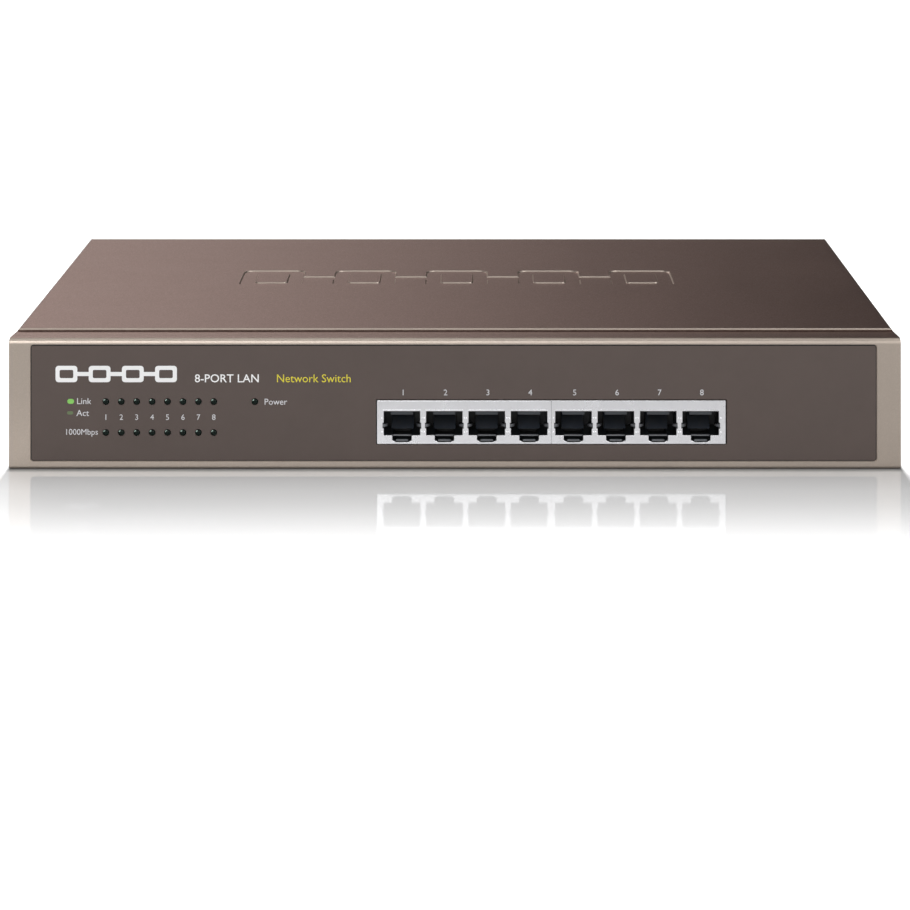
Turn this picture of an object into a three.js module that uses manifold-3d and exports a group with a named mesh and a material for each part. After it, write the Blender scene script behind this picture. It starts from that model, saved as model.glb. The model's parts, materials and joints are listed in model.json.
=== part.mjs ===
// Eight-port desktop network switch in a folded steel case: case, jacks, indicator light pipes,
// main board, mains power supply, inlet, wiring and screws, each piece a mesh of its own.
//
// Millimetres. X runs to the right as seen from the front, Y from the front panel to the rear, Z up.
// The origin is on the table, under the middle of the case.
import * as THREE from "three";
import { mergeVertices } from "three/addons/utils/BufferGeometryUtils.js";
import Module from "manifold-3d";

const wasm = await Module();
wasm.setup();

// ---------------------------------------------------------------- driving dimensions

// Case
const WIDTH = 294;
const DEPTH = 180;
const HEIGHT = 44;
const SHEET = 0.8; // steel sheet of the tray and the cover
const GAP = 0.3; // clearance between neighbouring pieces
const SEAT = 0.05; // film of paint, glue or solder under a piece that rests on another
const FRONT = -DEPTH / 2;
const BACK = DEPTH / 2;

// Front bezel and its printed overlay
const BEZEL_WALL = 1.6;
const BEZEL_DEPTH = 11; // how far its side walls reach back
const BEZEL_LEDGE = 15; // how far its top wall reaches back, under the cover
const BEZEL_ROUND = 2; // radius of its top front edge
const BEZEL_TOP = HEIGHT - SHEET - 2 * SEAT;
const OVERLAY = { width: 279.4, bottom: 2.7, top: 40.8, thick: 0.25, recess: 0.35, corner: 1 };
const CLIP = { x: 134, z: [8, 34], width: 8, thick: 1.2, length: 4.2, neck: 1.6, catch: 0.7 };

// Tray and cover, which slides down outside the tray's side flanges
const COVER_X = WIDTH / 2 - SHEET; // half width over the cover's side walls
const TRAY_X = COVER_X - SHEET - GAP;
const TRAY_FRONT = FRONT + BEZEL_WALL + GAP;
const LIP = { bottom: 35, y: BACK - SHEET }; // the cover's rear lip
const TRAY_BACK = LIP.y - GAP; // outer face of the rear wall
const FLANGE_HEIGHT = 12;
const BRACKET_TAB = { from: -78, to: -38, top: 37 };
const BRACKET_HOLES = [[-70, 12], [-70, 32], [-48, 22]]; // y and z, on each side
const VENTS = { count: 16, first: -22, pitch: 6, width: 3, bottom: 14, top: 32 };

// Pressed decoration in the cover's top: framed rectangles joined by bars
const MOTIF = { count: 5, width: 22, deep: 27.5, stroke: 5, length: 157, y: 9, depth: 0.4 };

// Screws: thread radius, hole radius, head radius and height, and length under the head
const M3 = { thread: 1.5, hole: 1.8, head: 2.8, headHeight: 1.9, length: 6 };
const M4 = { thread: 2, hole: 2.3, head: 3.9, headHeight: 2.8, length: 8 };
const COVER_SCREW = { y: [-30, 62], z: 6 };
const REAR_SCREW_Z = 39;
const EARTH = { x: -48, z: 16, washer: 4.6, washerThick: 1 };

// Jacks: two blocks of four ports side by side
const PORT_PITCH = 13.97;
const PORTS_PER_BLOCK = 4;
const BLOCK = { width: 56.5, height: 14.35, depth: 21.5, wall: 0.3, face: 0.4, flange: 0.95 };
const BLOCK_X = [3.5, 60.03];
const JACK_BASE = 8.25;
const JACK_WINDOW = { from: -26, to: 89.6, bottom: 7.95, top: 22.9 };
const PORT = { half: 6, floor: 2.8, roof: 10.8, latchHalf: 3.2, latchStep: 1.2, latchFloor: 0.6, tip: 2 };
const CAVITY_DEPTH = 14.5;

// Contact springs: eight arms on a bar that turns in a pocket above each port
const SPRING = { count: 8, pitch: 1.02, width: 0.45, thick: 0.3, reach: 9.4, drop: 3.9, y: 4, z: 12 };
const POCKET = { half: 4.8, from: 2.6, roof: 13.2 };
const PIVOT = { length: 11, groove: 11.6 }; // the springs' bar, whose ends sit in grooves

// Indicators
const LIGHT = { x: -115, pitch: 5.08, count: 8, upper: 22.2, lower: 12, radius: 1, power: -65.9 };
const LIGHT_HOLE = 1.15;

// Boards
const BOARD = { thick: 1.6, top: 8.1 };
const MAIN_BOARD = { x: [-124, 94], y: [-86.4, -18] };
const MAIN_SCREWS = [[-119.5, -81], [-40, -81], [-119.5, -23], [89, -23]];
const SUPPLY_BOARD = { x: [-130, -35], y: [-8, 62] };
const SUPPLY_SCREWS = [[-126, -4], [-39, -4], [-39, 58]];
const STANDOFF_RADIUS = 3.2;

// Mains inlet in the rear wall
const INLET = { x: -95, z: 22, flange: [48, 22.6, 3], body: [27.4, 19.8, 16], socket: [24.4, 16.6, 16.5] };
const INLET_SCREW_X = 20;

// ---------------------------------------------------------------- materials

const paint = (color, roughness, metalness) =>
  new THREE.MeshStandardMaterial({ color, roughness, metalness });
const MATERIAL = {
  coverPaint: paint(0x8a7a72, 0.45, 0.35),
  bezelPaint: paint(0xa99c8e, 0.4, 0.35),
  trayPaint: paint(0x857870, 0.5, 0.3),
  overlay: paint(0x5c514c, 0.55, 0),
  tin: paint(0xd9dade, 0.25, 1),
  black: paint(0x15171a, 0.45, 0),
  gold: paint(0xd9b35c, 0.25, 1),
  lightPipe: paint(0xbfd8c6, 0.1, 0),
  board: paint(0x1d5a38, 0.5, 0),
  supplyBoard: paint(0xb08a4e, 0.6, 0),
  chip: paint(0x1c1c1e, 0.6, 0),
  aluminium: paint(0xa8abb0, 0.35, 1),
  steel: paint(0xb9bcc0, 0.3, 1),
  ferrite: paint(0x2e2b2c, 0.7, 0),
  sleeve: paint(0x1d2a52, 0.35, 0),
  glass: paint(0xe6eceb, 0.05, 0),
  film: paint(0xd8d6c8, 0.4, 0),
  nylon: paint(0xe8e6dd, 0.45, 0),
  brown: paint(0x6b4226, 0.4, 0),
  blue: paint(0x2a4f9a, 0.4, 0),
  green: paint(0x3c8a3f, 0.4, 0),
  red: paint(0xb0342c, 0.4, 0),
};

// ---------------------------------------------------------------- solids

// A closed three.js geometry as a solid that can be joined and cut.
function solid(geometry) {
  const bare = geometry.clone();
  bare.deleteAttribute("normal");
  bare.deleteAttribute("uv");
  const merged = mergeVertices(bare, 1e-4);
  const vertProperties = merged.attributes.position.array;
  const triVerts = new Uint32Array(merged.index.array);
  return new wasm.Manifold(new wasm.Mesh({ numProp: 3, vertProperties, triVerts }));
}

const join = (...solids) => solids.flat(Infinity).reduce((whole, next) => whole.add(next));
const cut = (whole, ...tools) =>
  tools.flat(Infinity).reduce((left, tool) => left.subtract(tool), whole);
const mirrorPair = (make) => [make(-1), make(1)];
const around = (centre, width) => [centre - width / 2, centre + width / 2];
const row = (count, pitch) => Array.from({ length: count }, (_, i) => (i - (count - 1) / 2) * pitch);
const sorted = (range) => [Math.min(...range), Math.max(...range)];

function box(xs, ys, zs) {
  const [[x0, x1], [y0, y1], [z0, z1]] = [xs, ys, zs].map(sorted);
  const geometry = new THREE.BoxGeometry(x1 - x0, y1 - y0, z1 - z0);
  return solid(geometry.translate((x0 + x1) / 2, (y0 + y1) / 2, (z0 + z1) / 2));
}

// A round bar from a start point along one axis. A negative length runs the other way.
function rod(axis, [x, y, z], length, radius, sides = 16) {
  const geometry = new THREE.CylinderGeometry(radius, radius, Math.abs(length), sides);
  geometry.translate(0, length / 2, 0);
  if (axis === "x") geometry.rotateZ(-Math.PI / 2);
  if (axis === "z") geometry.rotateX(Math.PI / 2);
  return solid(geometry.translate(x, y, z));
}

// An outline pushed along an axis: (x, y) along z, (y, z) along x, or (x, z) along y.
function prism(axis, outline, range, curveSegments = 4) {
  const [from, to] = sorted(range);
  const points = () => outline.map(([u, v]) => new THREE.Vector2(u, v));
  const shape = outline instanceof THREE.Shape ? outline : new THREE.Shape(points());
  const geometry = new THREE.ExtrudeGeometry(shape, { depth: to - from, bevelEnabled: false, curveSegments });
  const [X, Y, Z] = [0, 1, 2].map((i) => new THREE.Vector3().setComponent(i, 1));
  const turn = new THREE.Matrix4();
  if (axis === "x") turn.makeBasis(Y, Z, X);
  if (axis === "y") turn.makeBasis(X, Z, Y.clone().negate());
  geometry.applyMatrix4(turn);
  const start = axis === "y" ? to : from;
  return solid(geometry.translate(...[X, Y, Z]["xyz".indexOf(axis)].multiplyScalar(start).toArray()));
}

function roundedRectangle([x0, x1], [y0, y1], radius) {
  const shape = new THREE.Shape();
  shape.absarc(x1 - radius, y0 + radius, radius, -Math.PI / 2, 0);
  shape.absarc(x1 - radius, y1 - radius, radius, 0, Math.PI / 2);
  shape.absarc(x0 + radius, y1 - radius, radius, Math.PI / 2, Math.PI);
  shape.absarc(x0 + radius, y0 + radius, radius, Math.PI, 1.5 * Math.PI);
  return shape;
}

// A round wire through the points.
function wire(points, radius, steps = 10, sides = 6) {
  const angles = Array.from({ length: sides }, (_, i) => (2 * Math.PI * i) / sides);
  const section = new THREE.Shape(
    angles.map((angle) => new THREE.Vector2(radius * Math.cos(angle), radius * Math.sin(angle))),
  );
  const stations = points.map((p) => new THREE.Vector3(...p));
  const extrudePath = new THREE.CatmullRomCurve3(stations, false, "centripetal");
  return solid(new THREE.ExtrudeGeometry(section, { steps, extrudePath, bevelEnabled: false }));
}

// A pan-head screw along +Z: the underside of its head at z 0, its thread below.
function panScrew({ thread, head, headHeight, length }) {
  const profile = [
    [0, -length],
    [thread, -length],
    [thread, 0],
    [head, 0],
    [head, headHeight * 0.55],
    [head * 0.72, headHeight],
    [0, headHeight],
  ].map(([r, z]) => new THREE.Vector2(r, z));
  const body = solid(new THREE.LatheGeometry(profile, 10).rotateX(Math.PI / 2));
  const slot = [-head * 0.5, head * 0.5];
  const width = around(0, head * 0.24);
  const depth = [headHeight * 0.4, headHeight + 1];
  return cut(body, box(slot, width, depth), box(width, slot, depth));
}

// A countersunk screw along +Z: the top of its head at z 0.
function flatScrew({ thread, head, length }) {
  const profile = [[0, -length], [thread, -length], [thread, -1.6], [head, -0.2], [head, 0], [0, 0]];
  const points = profile.map(([r, z]) => new THREE.Vector2(r, z));
  return solid(new THREE.LatheGeometry(points, 10).rotateX(Math.PI / 2));
}

// A solid as a named three.js mesh.
function piece(name, body, material) {
  const { vertProperties, triVerts, numProp } = body.getMesh();
  const positions = new Float32Array((vertProperties.length / numProp) * 3);
  for (let i = 0; i * numProp < vertProperties.length; i++)
    positions.set(vertProperties.subarray(i * numProp, i * numProp + 3), i * 3);
  const geometry = new THREE.BufferGeometry();
  geometry.setAttribute("position", new THREE.BufferAttribute(positions, 3));
  geometry.setIndex(new THREE.BufferAttribute(new Uint32Array(triVerts), 1));
  geometry.computeVertexNormals();
  const mesh = new THREE.Mesh(geometry, material);
  mesh.name = name;
  return mesh;
}

function placed(mesh, [x, y, z], [rx, ry, rz] = [0, 0, 0]) {
  mesh.position.set(x, y, z);
  mesh.rotation.set(rx, ry, rz);
  return mesh;
}

function group(position, ...children) {
  const made = new THREE.Group();
  made.position.set(...position);
  return made.add(...children.flat());
}

// ---------------------------------------------------------------- case

// Every light's place on the front panel, as [x, z].
const lights = [
  ...[LIGHT.upper, LIGHT.lower].flatMap((z) =>
    Array.from({ length: LIGHT.count }, (_, i) => [LIGHT.x + i * LIGHT.pitch, z]),
  ),
  [LIGHT.power, LIGHT.upper],
];

// Openings behind the overlay for the rows of light pipes, cut through anything from y0 to y1.
function lightWindows(margin, ys) {
  const last = LIGHT.x + (LIGHT.count - 1) * LIGHT.pitch;
  const rows = [LIGHT.upper, LIGHT.lower].map((z) =>
    box([LIGHT.x - margin, last + margin], ys, around(z, 2 * margin)),
  );
  return [...rows, box(around(LIGHT.power, 2 * margin), ys, around(LIGHT.upper, 2 * margin))];
}

const jackWindow = (grow, ys) =>
  box(
    [JACK_WINDOW.from - grow, JACK_WINDOW.to + grow],
    ys,
    [JACK_WINDOW.bottom - grow, JACK_WINDOW.top + grow],
  );

function frontBezel() {
  const outline = new THREE.Shape();
  outline.moveTo(FRONT, 0);
  outline.lineTo(FRONT + BEZEL_DEPTH, 0);
  outline.lineTo(FRONT + BEZEL_DEPTH, BEZEL_TOP);
  outline.absarc(FRONT + BEZEL_ROUND, BEZEL_TOP - BEZEL_ROUND, BEZEL_ROUND, Math.PI / 2, Math.PI);
  const whole = prism("x", outline, [-WIDTH / 2, WIDTH / 2], 5);
  const inside = box(
    [-COVER_X + SHEET, COVER_X - SHEET],
    [FRONT + BEZEL_WALL, FRONT + BEZEL_DEPTH + 1],
    [-1, BEZEL_TOP - BEZEL_WALL],
  );
  const ledge = box(
    [-TRAY_X, TRAY_X],
    [FRONT + BEZEL_DEPTH - 1, FRONT + BEZEL_LEDGE],
    [BEZEL_TOP - BEZEL_WALL, BEZEL_TOP],
  );
  const clips = CLIP.z.flatMap((z) =>
    mirrorPair((way) => {
      const root = FRONT + BEZEL_WALL;
      const [low, high] = [z, z + CLIP.thick];
      const arm = [[root - 0.2, high], [root - 0.2, low], [root + CLIP.length, low]];
      const barb = [[root + CLIP.neck, high + CLIP.catch], [root + CLIP.neck, high]];
      return prism("x", [...arm, ...barb], around(way * CLIP.x, CLIP.width));
    }),
  );
  const recess = box(
    around(0, OVERLAY.width + 0.2),
    [FRONT - 1, FRONT + OVERLAY.recess],
    [OVERLAY.bottom - 0.1, OVERLAY.top + 0.1],
  );
  const through = [FRONT - 1, FRONT + BEZEL_WALL + 1];
  return cut(
    join(cut(whole, inside), ledge, clips),
    recess,
    jackWindow(0, through),
    lightWindows(LIGHT_HOLE + 0.4, through),
  );
}

function frontOverlay() {
  const ys = [FRONT + OVERLAY.recess - SEAT - OVERLAY.thick, FRONT + OVERLAY.recess - SEAT];
  const height = [OVERLAY.bottom, OVERLAY.top];
  const outline = roundedRectangle(around(0, OVERLAY.width), height, OVERLAY.corner);
  const through = [FRONT - 1, FRONT + 1];
  const holes = lights.map(([x, z]) => rod("y", [x, FRONT - 1, z], 2, LIGHT_HOLE, 10));
  return cut(prism("y", outline, ys), jackWindow(0, through), holes);
}

function standoff([x, y]) {
  return rod("z", [x, y, SHEET / 2], BOARD.top - BOARD.thick - SEAT - SHEET / 2, STANDOFF_RADIUS, 10);
}

const standoffBore = ([x, y]) => rod("z", [x, y, 1.6], BOARD.top, M3.hole, 8);

function chassisTray() {
  const across = [-TRAY_X, TRAY_X];
  const along = [TRAY_FRONT, TRAY_BACK];
  const front = [TRAY_FRONT, TRAY_FRONT + SHEET];
  const rear = [TRAY_BACK - SHEET, TRAY_BACK];
  const sheets = [
    box(across, along, [0, SHEET]),
    box(across, front, [0, BEZEL_TOP - BEZEL_WALL - GAP]),
    box(across, rear, [0, HEIGHT - SHEET - GAP]),
    mirrorPair((way) => box([way * (TRAY_X - SHEET), way * TRAY_X], along, [0, FLANGE_HEIGHT])),
    mirrorPair((way) =>
      box([way * (TRAY_X - SHEET), way * TRAY_X], [BRACKET_TAB.from, BRACKET_TAB.to], [0, BRACKET_TAB.top]),
    ),
  ];
  const screws = [...MAIN_SCREWS, ...SUPPLY_SCREWS];
  const throughFront = [TRAY_FRONT - 1, TRAY_FRONT + 2];
  const rearHole = (x, z, radius) => rod("y", [x, TRAY_BACK + 1, z], -3, radius, 10);
  const openings = [
    screws.map(standoffBore),
    jackWindow(0.4, throughFront),
    lightWindows(LIGHT_HOLE + 0.9, throughFront),
    CLIP.z.map((z) => {
      const height = [z - GAP, z + CLIP.thick + CLIP.catch + 0.5];
      return mirrorPair((way) => box(around(way * CLIP.x, CLIP.width + 2 * GAP), throughFront, height));
    }),
    box(around(INLET.x, INLET.body[0] + 0.6), [TRAY_BACK - 2, BACK], around(INLET.z, INLET.body[1] + 0.6)),
    mirrorPair((way) => rearHole(INLET.x + way * INLET_SCREW_X, INLET.z, M3.hole)),
    rearHole(EARTH.x, EARTH.z, M4.hole),
    rearHole(0, REAR_SCREW_Z, M3.hole),
    COVER_SCREW.y.map((y) => rod("x", [-TRAY_X - 1, y, COVER_SCREW.z], 2 * TRAY_X + 2, M3.hole, 10)),
    BRACKET_HOLES.map(([y, z]) => rod("x", [-TRAY_X - 1, y, z], 2 * TRAY_X + 2, M3.hole, 10)),
  ];
  return cut(join(sheets, screws.map(standoff)), openings);
}

// The pressed frames and bars, as one solid between two heights.
function motif(grow, zs) {
  const half = MOTIF.width / 2;
  const outline = (x, inset, corner) => {
    const [w, h] = [half - inset, MOTIF.deep / 2 - inset];
    const quarter = [[w, -h + corner], [w, h - corner], [w - corner, h]];
    const upper = [...quarter, [-w + corner, h], [-w, h - corner], [-w, -h + corner]];
    return [[w - corner, -h], ...upper, [-w + corner, -h]].map(([u, v]) => [x + u, MOTIF.y + v]);
  };
  const xs = row(MOTIF.count, (MOTIF.length - MOTIF.width) / (MOTIF.count - 1));
  const frames = xs.map((x) =>
    cut(
      prism("z", outline(x, -grow, 4), zs),
      prism("z", outline(x, MOTIF.stroke + grow, 2), [zs[0] - 1, zs[1] + 1]),
    ),
  );
  const bars = xs.slice(1).map((x, i) =>
    box([xs[i] + half - 1, x - half + 1], around(MOTIF.y, MOTIF.stroke + 2 * grow), zs),
  );
  return join(frames, bars);
}

function topCover() {
  const under = HEIGHT - SHEET;
  const sheets = [
    box([-COVER_X, COVER_X], [FRONT + BEZEL_DEPTH, BACK], [under, HEIGHT]),
    mirrorPair((way) =>
      box([way * (COVER_X - SHEET), way * COVER_X], [FRONT + BEZEL_DEPTH + GAP, BACK], [GAP, HEIGHT]),
    ),
    box([-COVER_X, COVER_X], [LIP.y, BACK], [LIP.bottom, HEIGHT]),
    motif(GAP, [under - MOTIF.depth, under + SHEET / 4]),
  ];
  const acrossSides = (y, z, radius) => rod("x", [-COVER_X - 1, y, z], 2 * COVER_X + 2, radius, 10);
  const vents = Array.from({ length: VENTS.count }, (_, i) => {
    const along = around(VENTS.first + i * VENTS.pitch, VENTS.width);
    return box([-COVER_X - 1, COVER_X + 1], along, [VENTS.bottom, VENTS.top]);
  });
  // The side screws stand in slots that are open at the bottom, so the cover lifts once they are loose.
  const sideSlots = COVER_SCREW.y.flatMap((y) => [
    acrossSides(y, COVER_SCREW.z, M3.hole),
    box([-COVER_X - 1, COVER_X + 1], around(y, 2 * M3.hole), [-1, COVER_SCREW.z]),
  ]);
  const lipSlot = [
    rod("y", [0, BACK + 1, REAR_SCREW_Z], -SHEET - 2, M3.hole, 12),
    box(around(0, 2 * M3.hole), [LIP.y - 1, BACK + 1], [LIP.bottom - 1, REAR_SCREW_Z]),
  ];
  const pressed = motif(0, [HEIGHT - MOTIF.depth, HEIGHT + 1]);
  const bracketHoles = BRACKET_HOLES.map(([y, z]) => acrossSides(y, z, M3.hole));
  return cut(join(sheets), vents, sideSlots, lipSlot, pressed, bracketHoles);
}

// ---------------------------------------------------------------- jacks

// In a block's own frame: x from its middle, y from its front face, z from its underside.
const portCentres = row(PORTS_PER_BLOCK, PORT_PITCH);

function portOutline(x, inset) {
  const { half, floor, roof, latchHalf, latchStep, latchFloor, tip } = PORT;
  const right = [
    [tip - inset, latchFloor + inset],
    [latchHalf - inset, latchStep + inset],
    [latchHalf - inset, floor + inset],
    [half - inset, floor + inset],
    [half - inset, roof - inset],
  ];
  const left = right.map(([u, v]) => [-u, v]).reverse();
  return [...right, ...left].map(([u, v]) => [x + u, v]);
}

// The tinned shield. Its face runs past its body at the outer end of the pair, given by way.
function jackShield(way) {
  const half = BLOCK.width / 2;
  const inner = half - BLOCK.wall;
  const shell = cut(
    box([-half, half], [0, BLOCK.depth], [0, BLOCK.height]),
    box([-inner, inner], [BLOCK.face, BLOCK.depth - BLOCK.wall], [BLOCK.wall, BLOCK.height - BLOCK.wall]),
    box([-inner, inner], [3, BLOCK.depth - BLOCK.wall], [-1, 1]),
  );
  const flange = box([way * inner, way * (half + BLOCK.flange)], [0, BLOCK.face], [0, BLOCK.height]);
  const mouths = portCentres.map((x) => prism("y", portOutline(x, 0), [-1, 2 * BLOCK.face]));
  return cut(join(shell, flange), mouths);
}

function jackHousing() {
  const half = BLOCK.width / 2 - 0.55;
  const front = BLOCK.face + 0.15;
  const body = box([-half, half], [front, BLOCK.depth - 0.6], [BLOCK.wall + 0.15, BLOCK.height - 0.55]);
  const cavities = portCentres.map((x) => prism("y", portOutline(x, 0.1), [front - 1, CAVITY_DEPTH]));
  const pockets = portCentres.map((x) =>
    box(around(x, 2 * POCKET.half), [POCKET.from, CAVITY_DEPTH], [PORT.roof - 1, POCKET.roof]),
  );
  const grooves = portCentres.map((x) =>
    box(around(x, PIVOT.groove), around(SPRING.y, 1.6), around(SPRING.z, 1.6)),
  );
  return cut(body, cavities, pockets, grooves);
}

// Eight arms on a square bar, with the origin on the bar's axis, where the arms flex.
function contactSprings() {
  const across = row(SPRING.count, SPRING.pitch);
  const bar = box(around(0, PIVOT.length), around(0, 1), around(0, 1));
  const slope = SPRING.drop / SPRING.reach;
  const t = SPRING.thick / 2;
  const tip = [[SPRING.reach, -SPRING.drop - t], [SPRING.reach + t * slope, -SPRING.drop + t]];
  const arm = [[0, -t], ...tip, [0, t]];
  return join(bar, across.map((x) => prism("x", arm, around(x, SPRING.width))));
}

function jackBlock(index) {
  const side = ["left", "right"][index];
  const springs = portCentres.map((x, i) => {
    const name = `contact_springs_${index * PORTS_PER_BLOCK + i + 1}`;
    return placed(piece(name, contactSprings(), MATERIAL.gold), [x, SPRING.y, SPRING.z]);
  });
  return group(
    [BLOCK_X[index], FRONT, JACK_BASE],
    piece(`jack_shield_${side}`, jackShield(index === 0 ? -1 : 1), MATERIAL.tin),
    piece(`jack_housing_${side}`, jackHousing(), MATERIAL.black),
    springs,
  );
}

// ---------------------------------------------------------------- indicators

// One pipe: a round tip at the panel, then a square bar back and down to just above its lamp.
function lightPipe([x, z], turnY) {
  const r = LIGHT.radius;
  const foot = BOARD.top + 1.2;
  const bar = [
    [FRONT + 4, z - r],
    [turnY - r, z - r],
    [turnY - r, foot],
    [turnY + r, foot],
    [turnY + r, z - r / 2],
    [turnY - r / 2, z + r],
    [FRONT + 4, z + r],
  ];
  return join(rod("y", [x, FRONT, z], 4.5, r, 10), prism("x", bar, around(x, 2 * r)));
}

function lightPipeBank() {
  const back = { [LIGHT.upper]: -77.5, [LIGHT.lower]: -82 };
  const pipes = lights.slice(0, -1).map((place) => lightPipe(place, back[place[1]]));
  const last = LIGHT.x + (LIGHT.count - 1) * LIGHT.pitch;
  const web = box([LIGHT.x - 2, last + 2], [-86.6, -85.4], [BOARD.top + SEAT, LIGHT.upper + 2]);
  return join(web, pipes);
}

function powerLightPipe() {
  const foot = box(around(LIGHT.power, 5), [-86.6, -85.4], [BOARD.top + SEAT, LIGHT.upper + 2]);
  return join(foot, lightPipe([LIGHT.power, LIGHT.upper], -77.5));
}

// ---------------------------------------------------------------- main board

function circuitBoard({ x, y }, screws) {
  const plate = box(x, y, [BOARD.top - BOARD.thick, BOARD.top]);
  return cut(plate, screws.map(([u, v]) => rod("z", [u, v, BOARD.top - 3], 6, M3.hole, 12)));
}

// Parts that stand on a board are made with their underside at z 0.
function standing(name, body, material, [x, y]) {
  return placed(piece(name, body, material), [x, y, BOARD.top + SEAT]);
}

const block = (width, depth, height) => box(around(0, width), around(0, depth), [0, height]);

const CHIP = { at: [30, -37], size: 20, height: 1.4 };
const HEADER_AT = [-62, -25];

function heatSink() {
  const base = box(around(0, 28), around(0, 28), [0, 2.4]);
  const fins = row(8, 3.8).map((x) => box(around(x, 1.2), around(0, 28), [2, 12]));
  return join(base, fins);
}

// Two ports share one transformer module, which has a row of leads along both long sides.
function lineTransformer() {
  const leads = mirrorPair((way) =>
    row(4, 4.6).map((x) => box(around(x, 0.8), [way * 6, way * 8], [0, 0.5])),
  );
  return join(block(21, 12.4, 6), leads);
}

function canCapacitor(radius, height) {
  return join(rod("z", [0, 0, 0], height, radius, 14), rod("z", [0, 0, 0], 1, radius + 0.25, 14));
}

function dcHeader() {
  return cut(block(12.4, 6, 7), box(around(0, 10.8), around(0, 4.4), [1.4, 8]));
}

function mainBoard() {
  const transformerX = [-10.5, 17.5, 46, 74];
  const aboveChip = BOARD.top + CHIP.height + 2 * SEAT;
  return [
    piece("main_board", circuitBoard(MAIN_BOARD, MAIN_SCREWS), MATERIAL.board),
    standing("switch_chip", block(CHIP.size, CHIP.size, CHIP.height), MATERIAL.chip, CHIP.at),
    placed(piece("chip_heat_sink", heatSink(), MATERIAL.aluminium), [...CHIP.at, aboveChip]),
    transformerX.map((x, i) =>
      standing(`line_transformer_${i + 1}`, lineTransformer(), MATERIAL.chip, [x, -59.5]),
    ),
    standing("clock_crystal", block(11, 4.6, 3.6), MATERIAL.steel, [2, -36]),
    standing("board_capacitor", canCapacitor(4, 11.5), MATERIAL.sleeve, [-34, -36]),
    standing("dc_header", dcHeader(), MATERIAL.nylon, HEADER_AT),
  ];
}

// ---------------------------------------------------------------- power supply

function powerTransformer() {
  const bobbin = block(24, 22, 3);
  const winding = box(around(0, 17), around(0, 21), [2, 19]);
  const core = cut(block(26, 11, 23), box(around(0, 18), around(0, 12), [6, 17]));
  const lifted = core.translate([0, 0, 1]);
  return join(bobbin, winding, lifted);
}

// Two coils on an upright ferrite ring, on a plastic base.
function lineChoke() {
  const ring = cut(rod("y", [0, -3, 9], 6, 8, 16), rod("y", [0, -4, 9], 8, 3.6, 12));
  const coils = mirrorPair((way) => box([way * 3, way * 9], around(0, 10), [5, 14]));
  return join(block(19, 11, 2), ring, coils);
}

function fuseInClips() {
  const glass = rod("y", [0, -10, 5], 20, 2.6, 12);
  const clips = mirrorPair((way) => box(around(0, 6.4), [way * 6.5, way * 9.5], [0, 7]));
  return join(glass, clips);
}

function supplyHeatSink() {
  const plate = box(around(0, 2.4), around(0, 36), [0, 26]);
  const foot = box([0, 7], around(0, 36), [0, 2]);
  const transistor = box([1, 5.6], around(4, 10), [6, 21]);
  return join(plate, foot, transistor);
}

function insulatingSheet() {
  const sheet = box([-131, -34], [-9, 63], [SHEET + SEAT, SHEET + SEAT + 0.3]);
  return cut(sheet, SUPPLY_SCREWS.map(([x, y]) => rod("z", [x, y, 0], 3, STANDOFF_RADIUS + GAP, 12)));
}

function powerSupply() {
  return [
    piece("supply_board", circuitBoard(SUPPLY_BOARD, SUPPLY_SCREWS), MATERIAL.supplyBoard),
    piece("insulating_sheet", insulatingSheet(), MATERIAL.film),
    standing("mains_fuse", fuseInClips(), MATERIAL.glass, [-123, 36]),
    standing("line_choke", lineChoke(), MATERIAL.ferrite, [-104, 36]),
    standing("bulk_capacitor", canCapacitor(9, 30), MATERIAL.sleeve, [-82, 46]),
    standing("supply_heat_sink", supplyHeatSink(), MATERIAL.aluminium, [-66, 36]),
    standing("power_transformer", powerTransformer(), MATERIAL.ferrite, [-88, 10]),
    standing("output_capacitor", canCapacitor(5, 20), MATERIAL.sleeve, [-52, 14]),
  ];
}

// ---------------------------------------------------------------- mains inlet and wiring

// In the inlet's frame: y 0 is the rear wall's outer face, and the socket opens towards +y.
function socketOutline(width, height, chamfer) {
  const [w, h] = [width / 2, height / 2];
  return [[-w, -h], [w, -h], [w, h - chamfer], [w - chamfer, h], [-w + chamfer, h], [-w, h - chamfer]];
}

const BLADE = { x: 7, thick: 2, tall: 4, live: -2, earth: 2, out: 1.5, tab: -22 };

function blade(tipY) {
  const inside = box(around(0, BLADE.thick), [-14, tipY], around(0, BLADE.tall));
  const tab = box(around(0, 0.8), [BLADE.tab, -13], around(0, 4.8));
  return join(inside, tab);
}

function inletBody() {
  const [flangeWidth, flangeHeight, flangeThick] = INLET.flange;
  const flange = prism(
    "y",
    roundedRectangle(around(0, flangeWidth), around(0, flangeHeight), 4),
    [SEAT, flangeThick],
    3,
  );
  const shell = prism("y", socketOutline(INLET.body[0], INLET.body[1], 5), [-INLET.body[2], 1]);
  const socket = prism(
    "y",
    socketOutline(INLET.socket[0], INLET.socket[1], 4.4),
    [flangeThick - INLET.socket[2], flangeThick + 1],
  );
  const screwSeats = mirrorPair((way) => [
    rod("y", [way * INLET_SCREW_X, -1, 0], 6, M3.hole, 12),
    rod("y", [way * INLET_SCREW_X, flangeThick - 1.8, 0], 3, M3.head + GAP, 12),
  ]).flat();
  const slot = (x, z) => [
    box(around(x, BLADE.thick + 2 * SEAT), [-INLET.body[2] - 1, -10], around(z, BLADE.tall + 1)),
  ];
  const slots = [slot(-BLADE.x, BLADE.live), slot(BLADE.x, BLADE.live), slot(0, BLADE.earth)].flat();
  return cut(join(flange, shell), socket, screwSeats, slots);
}

const WIRE_RADIUS = 1.1;

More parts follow.
